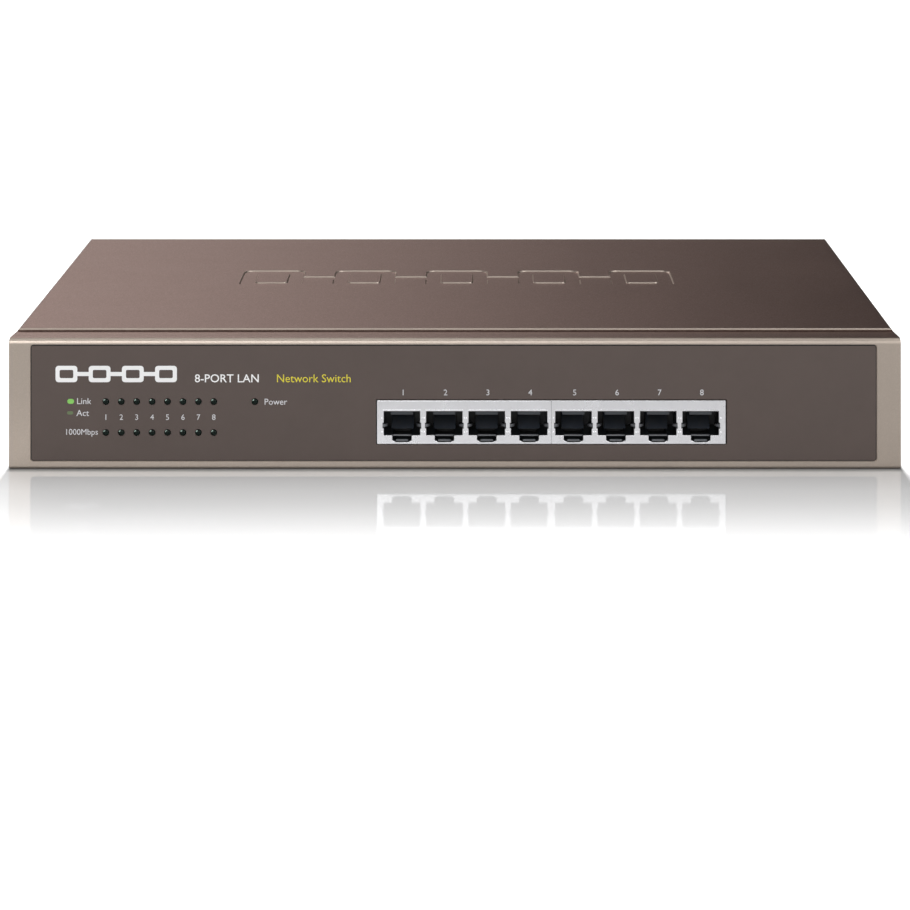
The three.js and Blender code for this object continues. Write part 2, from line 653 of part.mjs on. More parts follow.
// A wire that ends in a push-on receptacle over an inlet blade's tab, at the wire's first point.
function receptacle([x, y, z]) {
  const shell = box(around(x, 2.6), [y - 1, y + 6.5], around(z, 6.2));
  const inside = box(around(x, 1.4), [y + 0.6, y + 7.5], around(z, 5.4));
  return cut(shell, inside);
}

const tabPoint = (x, z) => [INLET.x + x, TRAY_BACK + BLADE.tab - 1.2, INLET.z + z];

function mainsWire(x, landing) {
  const start = tabPoint(x, BLADE.live);
  const [sx, sy, sz] = start;
  const [lx, ly] = landing;
  const low = BOARD.top + SEAT;
  const path = [
    [sx, sy - 0.5, sz],
    [sx, sy - 6, sz - 1],
    [(sx + lx) / 2, ly + 2, low + 7],
    [lx, ly, low + 3],
    [lx, ly, low],
  ];
  return join(receptacle(start), wire(path, WIRE_RADIUS));
}

// Runs from the inlet's earth blade to a ring terminal around the earth screw.
function earthWire() {
  const start = tabPoint(0, BLADE.earth);
  const [sx, sy, sz] = start;
  const ringY = TRAY_BACK - SHEET - GAP;
  const ring = cut(
    join(
      rod("y", [EARTH.x, ringY, EARTH.z], -0.8, 4.2, 16),
      box(around(EARTH.x, 3.6), [ringY - 0.8, ringY], [EARTH.z + 3, EARTH.z + 9]),
    ),
    rod("y", [EARTH.x, ringY + 1, EARTH.z], -3, M4.hole, 16),
  );
  const end = [EARTH.x, ringY - 1.2, EARTH.z + 7];
  const path = [
    [sx, sy - 0.5, sz],
    [sx + 2, sy - 5, sz + 4],
    [sx + 20, sy - 2, sz + 11],
    [EARTH.x - 8, ringY - 6, EARTH.z + 16],
    [EARTH.x, ringY - 1.6, EARTH.z + 12],
    end,
  ];
  return join(receptacle(start), wire(path, WIRE_RADIUS, 14), ring);
}

// A flat four-core cable from the supply board into the header on the main board.
function dcCable() {
  const [x, y] = HEADER_AT;
  const low = BOARD.top + SEAT;
  const landing = [x + 10, -2.2];
  const plug = box(around(x, 10.2), around(y, 3.8), [low + 1.6, low + 8.6]);
  const sleeve = box(around(landing[0], 8), [-4, -0.5], [low, low + 3]);
  const core = (dx) => [
    [x + dx, y, low + 8],
    [x + dx + 1, y + 3, low + 13],
    [x + dx + 6, y + 14, low + 12],
    [landing[0] + dx, landing[1], low + 6],
    [landing[0] + dx, landing[1], low + 2],
  ];
  const cores = row(4, 2).map((dx) => wire(core(dx), 1.05, 7, 5));
  return join(plug, sleeve, cores);
}

function mainsInlet() {
  const at = [INLET.x, TRAY_BACK, INLET.z];
  const pin = (name, x, z, tip) => placed(piece(name, blade(tip), MATERIAL.steel), [x, 0, z]);
  return [
    group(
      at,
      piece("mains_inlet", inletBody(), MATERIAL.black),
      pin("inlet_live_pin", -BLADE.x, BLADE.live, -BLADE.out),
      pin("inlet_neutral_pin", BLADE.x, BLADE.live, -BLADE.out),
      pin("inlet_earth_pin", 0, BLADE.earth, 0),
    ),
    piece("live_wire", mainsWire(-BLADE.x, [-116, 52]), MATERIAL.brown),
    piece("neutral_wire", mainsWire(BLADE.x, [-96, 54]), MATERIAL.blue),
    piece("earth_wire", earthWire(), MATERIAL.green),
    piece("dc_cable", dcCable(), MATERIAL.red),
  ];
}

// ---------------------------------------------------------------- screws

// Screws are made along +Z. Each turn points the head out of one side of the case.
const TURN = {
  left: [0, -Math.PI / 2, 0],
  right: [0, Math.PI / 2, 0],
  back: [-Math.PI / 2, 0, 0],
};

const BOARD_SCREW = { ...M3, thread: M3.thread - SEAT };

function coverScrews() {
  const onSide = (side, way) =>
    COVER_SCREW.y.map((y, i) => {
      const name = `cover_screw_${side}_${["front", "rear"][i]}`;
      const at = [way * (COVER_X + SEAT), y, COVER_SCREW.z];
      return placed(piece(name, panScrew(M3), MATERIAL.steel), at, TURN[side]);
    });
  const back = piece("cover_screw_back", panScrew(M3), MATERIAL.steel);
  return [
    ...onSide("left", -1),
    ...onSide("right", 1),
    placed(back, [0, BACK + SEAT, REAR_SCREW_Z], TURN.back),
  ];
}

function inletScrews() {
  const y = TRAY_BACK + INLET.flange[2] - SEAT;
  return ["left", "right"].map((side, i) => {
    const screw = piece(`inlet_screw_${side}`, flatScrew(M3), MATERIAL.steel);
    return placed(screw, [INLET.x + (2 * i - 1) * INLET_SCREW_X, y, INLET.z], TURN.back);
  });
}

// The earth screw with its washer, on the outside of the rear wall.
function earthClamp() {
  const disc = rod("z", [0, 0, 0], EARTH.washerThick, EARTH.washer, 16);
  const washer = cut(disc, rod("z", [0, 0, -1], 4, M4.hole, 12));
  const washerY = TRAY_BACK + SEAT;
  const screwY = washerY + EARTH.washerThick + SEAT;
  const screw = piece("earth_screw", panScrew(M4), MATERIAL.steel);
  return [
    placed(piece("earth_washer", washer, MATERIAL.steel), [EARTH.x, washerY, EARTH.z], TURN.back),
    placed(screw, [EARTH.x, screwY, EARTH.z], TURN.back),
  ];
}

function boardScrews() {
  const along = (prefix, places) =>
    places.map(([x, y], i) => {
      const screw = piece(`${prefix}_${i + 1}`, panScrew(BOARD_SCREW), MATERIAL.steel);
      return placed(screw, [x, y, BOARD.top + SEAT]);
    });
  return [...along("board_screw", MAIN_SCREWS), ...along("supply_screw", SUPPLY_SCREWS)];
}

// ---------------------------------------------------------------- the switch

const networkSwitch = group(
  [0, 0, 0],
  piece("chassis_tray", chassisTray(), MATERIAL.trayPaint),
  piece("top_cover", topCover(), MATERIAL.coverPaint),
  piece("front_bezel", frontBezel(), MATERIAL.bezelPaint),
  piece("front_overlay", frontOverlay(), MATERIAL.overlay),
  BLOCK_X.map((_, index) => jackBlock(index)),
  piece("light_pipe_bank", lightPipeBank(), MATERIAL.lightPipe),
  piece("power_light_pipe", powerLightPipe(), MATERIAL.lightPipe),
  mainBoard().flat(),
  powerSupply(),
  mainsInlet(),
  coverScrews(),
  inletScrews(),
  earthClamp(),
  boardScrews(),
);

export default networkSwitch;
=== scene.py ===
import json
import math
import random

import bmesh
import bpy
from mathutils import Matrix, Vector

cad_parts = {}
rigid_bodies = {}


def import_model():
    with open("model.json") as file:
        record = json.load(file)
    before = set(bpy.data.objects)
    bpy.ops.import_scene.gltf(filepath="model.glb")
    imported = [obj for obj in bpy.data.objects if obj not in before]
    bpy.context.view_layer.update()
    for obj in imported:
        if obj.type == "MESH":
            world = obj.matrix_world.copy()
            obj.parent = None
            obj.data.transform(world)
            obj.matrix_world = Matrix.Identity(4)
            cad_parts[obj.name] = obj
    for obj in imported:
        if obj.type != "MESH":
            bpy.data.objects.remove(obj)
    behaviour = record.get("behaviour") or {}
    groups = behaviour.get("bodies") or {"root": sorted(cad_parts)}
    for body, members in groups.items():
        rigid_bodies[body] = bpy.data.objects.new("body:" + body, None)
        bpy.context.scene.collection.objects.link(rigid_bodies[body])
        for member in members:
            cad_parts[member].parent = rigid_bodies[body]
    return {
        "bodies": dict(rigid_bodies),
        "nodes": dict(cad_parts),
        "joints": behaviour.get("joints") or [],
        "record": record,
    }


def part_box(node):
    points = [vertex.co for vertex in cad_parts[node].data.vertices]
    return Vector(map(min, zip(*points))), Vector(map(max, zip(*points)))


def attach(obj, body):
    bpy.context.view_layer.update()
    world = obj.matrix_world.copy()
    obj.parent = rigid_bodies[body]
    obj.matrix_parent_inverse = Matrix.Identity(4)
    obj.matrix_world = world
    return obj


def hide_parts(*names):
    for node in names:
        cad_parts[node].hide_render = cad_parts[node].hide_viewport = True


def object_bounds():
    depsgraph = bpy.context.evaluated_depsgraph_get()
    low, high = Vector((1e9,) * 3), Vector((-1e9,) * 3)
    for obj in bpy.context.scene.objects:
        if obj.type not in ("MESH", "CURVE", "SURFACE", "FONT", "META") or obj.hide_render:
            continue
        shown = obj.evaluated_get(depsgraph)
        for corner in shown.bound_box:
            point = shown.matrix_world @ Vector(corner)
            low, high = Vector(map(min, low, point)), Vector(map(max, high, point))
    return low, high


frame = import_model()
CAD_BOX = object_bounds()
random.seed(8)
scene = bpy.context.scene

# All shapes are built in millimetres and scaled once, when a piece is finished.
MM = 0.001


def span(node):
    """A CAD node's lowest and highest corner in millimetres."""
    low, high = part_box(node)
    return [v / MM for v in low], [v / MM for v in high]


# ---------------------------------------------------------------- materials


class Shader:
    """A small helper for building one procedural Principled material."""

    def __init__(self, name):
        self.material = bpy.data.materials.new(name)
        self.material.use_nodes = True
        self.tree = self.material.node_tree
        self.surface = self.tree.nodes["Principled BSDF"]
        coordinates = self.add("ShaderNodeTexCoord")
        self.place = coordinates.outputs["Object"]
        self.height = None

    def add(self, kind, **values):
        node = self.tree.nodes.new(kind)
        for key, value in values.items():
            if hasattr(node, key):
                setattr(node, key, value)
            else:
                node.inputs[key.replace("_", " ")].default_value = value
        return node

    def link(self, source, target):
        self.tree.links.new(source, target)
        return target

    def noise(self, size_mm, detail=3.0, rough=0.55, stretch=(1, 1, 1)):
        """A noise between 0 and 1 whose features are about size_mm across."""
        mapping = self.add("ShaderNodeMapping")
        mapping.inputs["Scale"].default_value = [s / (size_mm * MM) for s in stretch]
        self.link(self.place, mapping.inputs["Vector"])
        node = self.add("ShaderNodeTexNoise")
        node.inputs["Scale"].default_value = 1.0
        node.inputs["Detail"].default_value = detail
        node.inputs["Roughness"].default_value = rough
        self.link(mapping.outputs["Vector"], node.inputs["Vector"])
        return node.outputs["Fac"]

    def cells(self, size_mm):
        mapping = self.add("ShaderNodeMapping")
        mapping.inputs["Scale"].default_value = [1 / (size_mm * MM)] * 3
        self.link(self.place, mapping.inputs["Vector"])
        node = self.add("ShaderNodeTexVoronoi")
        node.inputs["Scale"].default_value = 1.0
        self.link(mapping.outputs["Vector"], node.inputs["Vector"])
        return node.outputs["Color"]

    def ramp(self, value, low, high, from_min=0.3, from_max=0.7):
        node = self.add("ShaderNodeMapRange")
        node.inputs["From Min"].default_value = from_min
        node.inputs["From Max"].default_value = from_max
        node.inputs["To Min"].default_value = low
        node.inputs["To Max"].default_value = high
        self.link(value, node.inputs["Value"])
        return node.outputs["Result"]

    def maths(self, operation, a, b):
        node = self.add("ShaderNodeMath")
        node.operation = operation
        for socket, value in zip(node.inputs, (a, b)):
            if isinstance(value, (int, float)):
                socket.default_value = value
            else:
                self.link(value, socket)
        return node.outputs[0]

    def mix(self, factor, a, b, blend="MIX"):
        node = self.add("ShaderNodeMix")
        node.data_type = "RGBA"
        node.blend_type = blend
        sockets = (node.inputs[0], node.inputs[6], node.inputs[7])
        for socket, value in zip(sockets, (factor, a, b)):
            if isinstance(value, (int, float)):
                socket.default_value = value
            elif isinstance(value, (tuple, list)):
                socket.default_value = (*value[:3], 1)
            else:
                self.link(value, socket)
        return node.outputs[2]

    def edge(self, radius_mm=0.5):
        """1 near a sharp edge and 0 on flat ground."""
        rounded = self.add("ShaderNodeBevel")
        rounded.samples = 4
        rounded.inputs["Radius"].default_value = radius_mm * MM
        geometry = self.add("ShaderNodeNewGeometry")
        dot = self.add("ShaderNodeVectorMath")
        dot.operation = "DOT_PRODUCT"
        self.link(rounded.outputs["Normal"], dot.inputs[0])
        self.link(geometry.outputs["Normal"], dot.inputs[1])
        return self.ramp(dot.outputs["Value"], 1.0, 0.0, 0.75, 0.98)

    def bump(self, height, depth_mm, strength=1.0):
        node = self.add("ShaderNodeBump")
        node.inputs["Strength"].default_value = strength
        node.inputs["Distance"].default_value = depth_mm * MM
        self.link(height, node.inputs["Height"])
        if self.height is not None:
            self.link(self.height, node.inputs["Normal"])
        self.height = node.outputs["Normal"]

    def finish(self, colour, rough, metal=0.0, **rest):
        inputs = self.surface.inputs
        for key, value in dict(Base_Color=colour, Roughness=rough, Metallic=metal, **rest).items():
            socket = inputs[key.replace("_", " ")]
            if isinstance(value, (int, float)):
                socket.default_value = value
            elif isinstance(value, (tuple, list)):
                socket.default_value = (*value[:3], 1)
            else:
                self.link(value, socket)
        if self.height is not None:
            self.link(self.height, inputs["Normal"])
        return self.material


def linear(r, g, b):
    """A display colour, 0 to 255, as linear light."""
    return tuple(((c / 255 + 0.055) / 1.055) ** 2.4 if c > 10 else c / 255 / 12.92 for c in (r, g, b))


def scaled(colour, factor):
    return tuple(min(1.0, c * factor) for c in colour)


def metallic_paint(name, colour, rough, metal, sheen, flake=0.10, wear=0.35, above=None, upright=None):
    """Sprayed metallic paint: flakes, a slight orange peel, darker specks and thin paint on edges.

    sheen is its tint at a glancing view. It is painted the colour above on faces that look up and upright on walls:
    painted shade for the darker look of the same paint on the top and walls."""
    s = Shader(name)
    flakes = s.cells(0.28)
    patches = s.noise(38, 4)
    peel = s.noise(1.3, 2)
    fine = s.noise(0.35, 2)
    base = s.mix(s.ramp(patches, 0, 1), scaled(colour, 0.97), scaled(colour, 1.03))
    # Painted shade: faces that look up take the darker colour above, and walls the middle colour upright.
    if above:
        normal = s.add("ShaderNodeSeparateXYZ")
        s.link(s.add("ShaderNodeNewGeometry").outputs["Normal"], normal.inputs[0])
        base = s.mix(s.ramp(normal.outputs["Z"], 0, 1, 0.86, 0.99), base, above)
        if upright:
            base = s.mix(s.ramp(normal.outputs["Z"], 1, 0, 0.2, 0.5), base, upright)
    grey = s.add("ShaderNodeRGBToBW")
    s.link(flakes, grey.inputs[0])
    base = s.mix(s.ramp(grey.outputs[0], 0, flake, 0.45, 0.9), base, scaled(colour, 1.9))
    base = s.mix(s.ramp(fine, 0.0, flake, 0.5, 0.8), base, scaled(colour, 0.55))
    edge = s.maths("MULTIPLY", s.edge(0.35), s.ramp(s.noise(2.2, 3), 0.0, wear))
    base = s.mix(edge, base, scaled(colour, 1.7))
    roughness = s.maths("ADD", s.ramp(patches, rough - 0.015, rough + 0.015), s.ramp(fine, -0.05, 0.05))
    s.bump(peel, 0.012)
    s.bump(fine, 0.006)
    return s.finish(base, roughness, metal, Specular_Tint=sheen)


def moulded(name, colour, rough, grain_mm=0.25, depth=0.004, coat=0.0, spread=0.12, **rest):
    """Moulded plastic or rubber: a fine grain, slow colour drift and scuffed sheen."""
    s = Shader(name)
    drift = s.noise(14, 3)
    grain = s.noise(grain_mm, 2)
    base = s.mix(s.ramp(drift, 0, 1), scaled(colour, 1 - spread), scaled(colour, 1 + spread))
    base = s.mix(s.ramp(grain, 0, 0.25), base, scaled(colour, 1 - 2 * spread))
    roughness = s.maths("ADD", s.ramp(s.noise(5, 4), rough - 0.07, rough + 0.07), s.ramp(grain, -0.04, 0.04))
    s.bump(grain, depth)
    return s.finish(base, roughness, 0.0, Coat_Weight=coat, **rest)


def plated(name, colour, rough, brush=(1, 1, 1), size=0.5, spread=0.1, depth=0.003):
    """Plated or bare metal: rolling or brushing marks and tarnish."""
    s = Shader(name)
    marks = s.noise(size, 4, 0.6, brush)
    tarnish = s.noise(7, 4)
    base = s.mix(s.ramp(tarnish, 0, 1), scaled(colour, 1 - spread), scaled(colour, 1 + spread * 0.6))
    base = s.mix(s.ramp(marks, 0, 0.3), base, scaled(colour, 1 - 2 * spread))
    roughness = s.maths("ADD", s.ramp(tarnish, rough - 0.06, rough + 0.08), s.ramp(marks, -0.06, 0.06))
    s.bump(marks, depth)
    return s.finish(base, roughness, 1.0)


def light_tip():
    """A dark clear dome with a painted glint: faces turned to the upper left are painted pale green."""
    s = Shader("light_tip")
    towards = s.add("ShaderNodeVectorMath")
    towards.operation = "DOT_PRODUCT"
    towards.inputs[1].default_value = Vector((-0.5, -0.68, 0.54)).normalized()
    s.link(s.add("ShaderNodeNewGeometry").outputs["Normal"], towards.inputs[0])
    # Painted glint: faces that look up and to the left are painted a pale green highlight.
    painted_glint = s.ramp(towards.outputs["Value"], 0.0, 0.8, 0.91, 0.985)
    drift = s.mix(s.noise(0.8, 3), linear(3, 12, 9), linear(9, 26, 20))
    s.bump(s.noise(0.5, 2), 0.002)
    return s.finish(s.mix(painted_glint, drift, linear(200, 226, 214)), s.ramp(s.noise(0.6), 0.06, 0.14), Specular_IOR_Level=0.15)


# Painted shade of the champagne paint: the darker colour it is given on faces that look up, beside the middle colour
# given to the cover's walls.
TOP_PAINTED_SHADE = linear(89, 71, 66)
CHAMPAGNE = linear(180, 168, 157)
M = {
    "cover": metallic_paint("cover_paint", CHAMPAGNE, 0.38, 0.95, (1.0, 0.87, 0.83), 0.08, above=TOP_PAINTED_SHADE, upright=linear(112, 93, 86)),
    "bezel": metallic_paint("bezel_paint", CHAMPAGNE, 0.38, 0.95, (1.0, 0.88, 0.84), 0.08, above=TOP_PAINTED_SHADE),
    "tray": metallic_paint("tray_paint", linear(110, 92, 85), 0.44, 0.9, (1.0, 0.85, 0.8)),
    "overlay": moulded("overlay_film", linear(81, 69, 64), 0.5, 0.22, 0.006, spread=0.04),
    "white_ink": moulded("white_ink", linear(236, 236, 236), 0.45, 0.3, 0.002, spread=0.03),
    "grey_ink": moulded("grey_ink", linear(205, 205, 208), 0.45, 0.3, 0.002, spread=0.03),
    "yellow_ink": moulded("yellow_ink", linear(214, 200, 50), 0.45, 0.3, 0.002, spread=0.03),
    "green_ink": moulded("green_ink", linear(128, 196, 92), 0.45, 0.3, 0.002, spread=0.03),
    "olive_ink": moulded("olive_ink", linear(96, 112, 78), 0.45, 0.3, 0.002, spread=0.03),
    "tin": plated("tin_plate", linear(234, 234, 237), 0.2, (1, 1, 1), 2.2, 0.03, 0.0006),
    "finger": plated("dull_tin", linear(120, 122, 126), 0.4, (1, 1, 1), 0.8, 0.05, 0.001),
    "steel": plated("nickel_steel", linear(205, 207, 210), 0.22, (1, 1, 1), 0.4, 0.08),
    "gold": plated("gold_plate", linear(222, 184, 104), 0.2, (1, 0.3, 1), 0.3, 0.08),
    "black": moulded("black_moulding", linear(12, 15, 19), 0.36, 0.3, 0.004),
    "comb_grey": moulded("comb_moulding", linear(58, 61, 66), 0.35, 0.3, 0.004),
    "stop_grey": moulded("stop_moulding", linear(60, 66, 76), 0.4, 0.3, 0.004),
    "latch_grey": moulded("grey_moulding", linear(92, 94, 98), 0.3, 0.3, 0.004, coat=0.3),
    "inlet": moulded("inlet_moulding", linear(24, 25, 27), 0.42, 0.2, 0.006),
    "light": moulded("light_pipe", linear(214, 232, 224), 0.1, 0.6, 0.001, spread=0.03, Transmission_Weight=0.7, IOR=1.49),
    "light_tip": light_tip(),
    "board": moulded("solder_mask", linear(28, 92, 58), 0.3, 0.3, 0.004, coat=0.5),
    "supply_board": moulded("paper_laminate", linear(176, 140, 84), 0.5, 0.35, 0.006),
    "chip": moulded("chip_moulding", linear(38, 38, 40), 0.5, 0.15, 0.006),
    "aluminium": plated("extruded_aluminium", linear(188, 190, 194), 0.36, (1, 0.05, 1), 0.25, 0.08),
    "sleeve": moulded("can_sleeve", linear(28, 40, 84), 0.28, 0.4, 0.003, coat=0.4),
    "tape": moulded("winding_tape", linear(222, 186, 62), 0.34, 1.2, 0.004, coat=0.3),
    "copper": plated("enamelled_copper", linear(196, 104, 58), 0.22, (1, 1, 1), 0.5, 0.1),
    "trace": moulded("covered_copper", linear(44, 122, 78), 0.3, 0.3, 0.003, coat=0.5),
    "sleeve_stripe": moulded("sleeve_stripe", linear(188, 194, 206), 0.3, 0.4, 0.003, coat=0.4),
    "tan": moulded("ceramic", linear(172, 138, 98), 0.45, 0.2, 0.003),
    "ferrite": moulded("ferrite", linear(52, 50, 50), 0.62, 0.3, 0.01),
    "nylon": moulded("nylon", linear(232, 229, 218), 0.4, 0.3, 0.004),
    "film": moulded("insulating_film", linear(214, 212, 196), 0.35, 0.6, 0.004),
    "glass": moulded("fuse_glass", linear(232, 238, 236), 0.06, 0.6, 0.001, spread=0.02, Transmission_Weight=0.85, IOR=1.5),
    "brown": moulded("brown_insulation", linear(104, 64, 38), 0.38, 0.3, 0.004),
    "blue": moulded("blue_insulation", linear(44, 84, 168), 0.38, 0.3, 0.004),
    "green": moulded("green_insulation", linear(62, 148, 66), 0.38, 0.3, 0.004),
    "red": moulded("red_insulation", linear(184, 52, 44), 0.38, 0.3, 0.004),
}


# ---------------------------------------------------------------- shapes, in millimetres


def rounded(xs, ys, radius, steps=5):
    """A rectangle with round corners, anticlockwise."""
    (x0, x1), (y0, y1) = xs, ys
    if radius <= 0:
        return [(x0, y0), (x1, y0), (x1, y1), (x0, y1)]
    points = []
    corners = ((x1 - radius, y0 + radius, -90), (x1 - radius, y1 - radius, 0), (x0 + radius, y1 - radius, 90), (x0 + radius, y0 + radius, 180))
    for cx, cy, start in corners:
        for i in range(steps + 1):
            a = math.radians(start + 90 * i / steps)
            points.append((cx + radius * math.cos(a), cy + radius * math.sin(a)))
    return points


def around(centre, width):
    return (centre - width / 2, centre + width / 2)


def disc(x, y, radius, steps=28):
    return [(x + radius * math.cos(2 * math.pi * i / steps), y + radius * math.sin(2 * math.pi * i / steps)) for i in range(steps)]


def row(count, pitch, centre=0.0):
    return [centre + (i - (count - 1) / 2) * pitch for i in range(count)]


PLACE = {"x": lambda u, v, w: (w, u, v), "y": lambda u, v, w: (u, w, v), "z": lambda u, v, w: (u, v, w)}


def prism(bm, outline, axis, low, high, end=None):
    """Adds an outline pushed along an axis: (y, z) along x, (x, z) along y or (x, y) along z.

    It turns into the outline end on the way, if that is given."""
    place = PLACE[axis]
    bottom = [bm.verts.new(place(u, v, low)) for u, v in outline]
    top = [bm.verts.new(place(u, v, high)) for u, v in end or outline]
    faces = [bm.faces.new(bottom), bm.faces.new(top[::-1])]
    for i in range(len(outline)):
        j = (i + 1) % len(outline)
        faces.append(bm.faces.new((bottom[i], top[i], top[j], bottom[j])))
    bmesh.ops.recalc_face_normals(bm, faces=faces)
    return bm


def block(bm, xs, ys, zs):
    return prism(bm, rounded(xs, ys, 0), "z", *zs)


def lathe(bm, profile, origin, axis, steps=32):
    """Turns a closed (radius, height) profile round an axis through origin. Ends on the axis are closed to points."""
    rings = []
    for r, h in profile:
        if r < 1e-6:
            rings.append([bm.verts.new(turned(0, 0, h, origin, axis))])
        else:
            rings.append([bm.verts.new(turned(r * math.cos(2 * math.pi * i / steps), r * math.sin(2 * math.pi * i / steps), h, origin, axis)) for i in range(steps)])
    faces = []
    for a, b in zip(rings, rings[1:]):
        for i in range(steps):
            j = (i + 1) % steps
            corners = [a[i % len(a)], a[j % len(a)], b[j % len(b)], b[i % len(b)]]
            unique = list(dict.fromkeys(corners))
            if len(unique) > 2:
                faces.append(bm.faces.new(unique))
    bmesh.ops.recalc_face_normals(bm, faces=faces)
    return bm


def turned(u, v, h, origin, axis):
    """A point of a turned or standing shape, whose own height runs along axis: x, y, z, -x or -y."""
    x, y, z = {
        "z": (u, v, h),
        "y": (u, h, -v),
        "-y": (u, -h, v),
        "x": (h, u, v),
        "-x": (-h, -u, v),
    }[axis]
    return (origin[0] + x, origin[1] + y, origin[2] + z)


def sweep(bm, points, radius, steps=12, per_span=8):
    """A round wire through the points, smoothed, with its ends closed flat."""
    knots = [Vector(p) for p in points]
    line = []
    for i in range(len(knots) - 1):
        p0 = knots[max(i - 1, 0)]
        p1, p2 = knots[i], knots[i + 1]
        p3 = knots[min(i + 2, len(knots) - 1)]
        for k in range(per_span):
            t = k / per_span
            line.append(0.5 * (2 * p1 + (p2 - p0) * t + (2 * p0 - 5 * p1 + 4 * p2 - p3) * t * t + (3 * p1 - p0 - 3 * p2 + p3) * t ** 3))
    line.append(knots[-1])
    rings, normal = [], None
    for i, p in enumerate(line):
        tangent = (line[min(i + 1, len(line) - 1)] - line[max(i - 1, 0)]).normalized()
        if normal is None:
            normal = tangent.orthogonal().normalized()
        normal = (normal - tangent * normal.dot(tangent)).normalized()
        other = tangent.cross(normal)
        rings.append([bm.verts.new(p + radius * (normal * math.cos(a) + other * math.sin(a))) for a in (2 * math.pi * k / steps for k in range(steps))])
    faces = [bm.faces.new(rings[0]), bm.faces.new(rings[-1][::-1])]
    for a, b in zip(rings, rings[1:]):
        for k in range(steps):
            j = (k + 1) % steps
            faces.append(bm.faces.new((a[k], a[j], b[j], b[k])))
    bmesh.ops.recalc_face_normals(bm, faces=faces)
    return bm


def solid(bm, name="solid"):
    mesh = bpy.data.meshes.new(name)
    bm.to_mesh(mesh)
    bm.free()
    made = bpy.data.objects.new(name, mesh)
    scene.collection.objects.link(made)
    return made


def apply(target):
    """The object with its modifiers made permanent."""
    graph = bpy.context.evaluated_depsgraph_get()
    mesh = bpy.data.meshes.new_from_object(target.evaluated_get(graph))
    target.modifiers.clear()
    target.data = mesh
    return target


def boolean(target, tool, operation):
    tool = solid(tool) if isinstance(tool, bmesh.types.BMesh) else tool
    modifier = target.modifiers.new("boolean", "BOOLEAN")
    modifier.operation = operation
    modifier.solver = "EXACT"
    modifier.object = tool
    apply(target)
    bpy.data.objects.remove(tool)
    return target


def carve(target, *tools):
    for tool in tools:
        boolean(target, tool, "DIFFERENCE")
    return target


def fuse(target, *tools):
    for tool in tools:
        boolean(target, tool, "UNION")
    return target


def tidy_mesh(made, angle=30.0, merge=0.002):
    """Merges doubles, joins coplanar faces and shades the mesh smooth with sharp edges."""
    bm = bmesh.new()
    bm.from_mesh(made.data)
    # Merging would tear faces that run round holes, so they are cut into triangles first.
    bmesh.ops.triangulate(bm, faces=bm.faces)
    bmesh.ops.remove_doubles(bm, verts=bm.verts, dist=merge)
    bmesh.ops.dissolve_degenerate(bm, edges=bm.edges, dist=merge)
    bmesh.ops.dissolve_limit(bm, angle_limit=math.radians(0.5), verts=bm.verts, edges=bm.edges)
    bmesh.ops.delete(bm, geom=[edge for edge in bm.edges if not edge.link_faces], context="EDGES")
    bmesh.ops.holes_fill(bm, edges=[edge for edge in bm.edges if edge.is_boundary], sides=6)
    for face in bm.faces:
        face.smooth = True
    for edge in bm.edges:
        edge.smooth = edge.is_manifold and edge.calc_face_angle(0) < math.radians(angle)
    bm.to_mesh(made.data)
    bm.free()
    return made


def flat_faces(made):
    """Keeps large faces shaded flat next to their rounded edges."""
    modifier = made.modifiers.new("flat_faces", "WEIGHTED_NORMAL")
    modifier.keep_sharp = True
    modifier.weight = 100


def piece(made, name, body, material, replaces=(), bevel=0.1, segments=2, angle=40.0, tidy=True):
    """Finishes a shape as a named piece that rides on a body."""
    if isinstance(made, bmesh.types.BMesh):
        made = solid(made)
    if tidy:
        tidy_mesh(made, angle)
    made.data.transform(Matrix.Diagonal((MM, MM, MM, 1)))
    made.name = made.data.name = name
    made.data.materials.clear()
    made.data.materials.append(M[material])
    if bevel:
        modifier = made.modifiers.new("edges", "BEVEL")
        modifier.width = bevel * MM
        modifier.segments = segments
        modifier.limit_method = "ANGLE"
        modifier.angle_limit = math.radians(angle)
        modifier.use_clamp_overlap = True
    flat_faces(made)
    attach(made, body)
    if replaces:
        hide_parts(*replaces)
    return made


def dress(node, material, bevel=0.1, segments=2, angle=40.0):
    """Gives a CAD node its material and fine edges."""
    made = frame["nodes"][node]
    made.data.materials.clear()
    made.data.materials.append(M[material])
    if "custom_normal" in made.data.attributes:
        made.data.attributes.remove(made.data.attributes["custom_normal"])
    for polygon in made.data.polygons:
        polygon.use_smooth = True
    weld = made.modifiers.new("weld", "WELD")
    weld.merge_threshold = 1e-5
    planar = made.modifiers.new("planar", "DECIMATE")
    planar.decimate_type = "DISSOLVE"
    planar.angle_limit = math.radians(0.5)
    if bevel:
        modifier = made.modifiers.new("edges", "BEVEL")
        modifier.width = bevel * MM
        modifier.segments = segments
        modifier.limit_method = "ANGLE"
        modifier.angle_limit = math.radians(angle)
    flat_faces(made)
    return made


# ---------------------------------------------------------------- case

COVER_LOW, COVER_HIGH = span("top_cover")
BEZEL_LOW, BEZEL_HIGH = span("front_bezel")
TRAY_LOW, TRAY_HIGH = span("chassis_tray")
FILM_LOW, FILM_HIGH = span("front_overlay")
SHEET = 0.8
FRONT = BEZEL_LOW[1]
HOLES = [(-70, 12), (-70, 32), (-48, 22)]
SCREW_Y, SCREW_Z = (-30, 62), 6


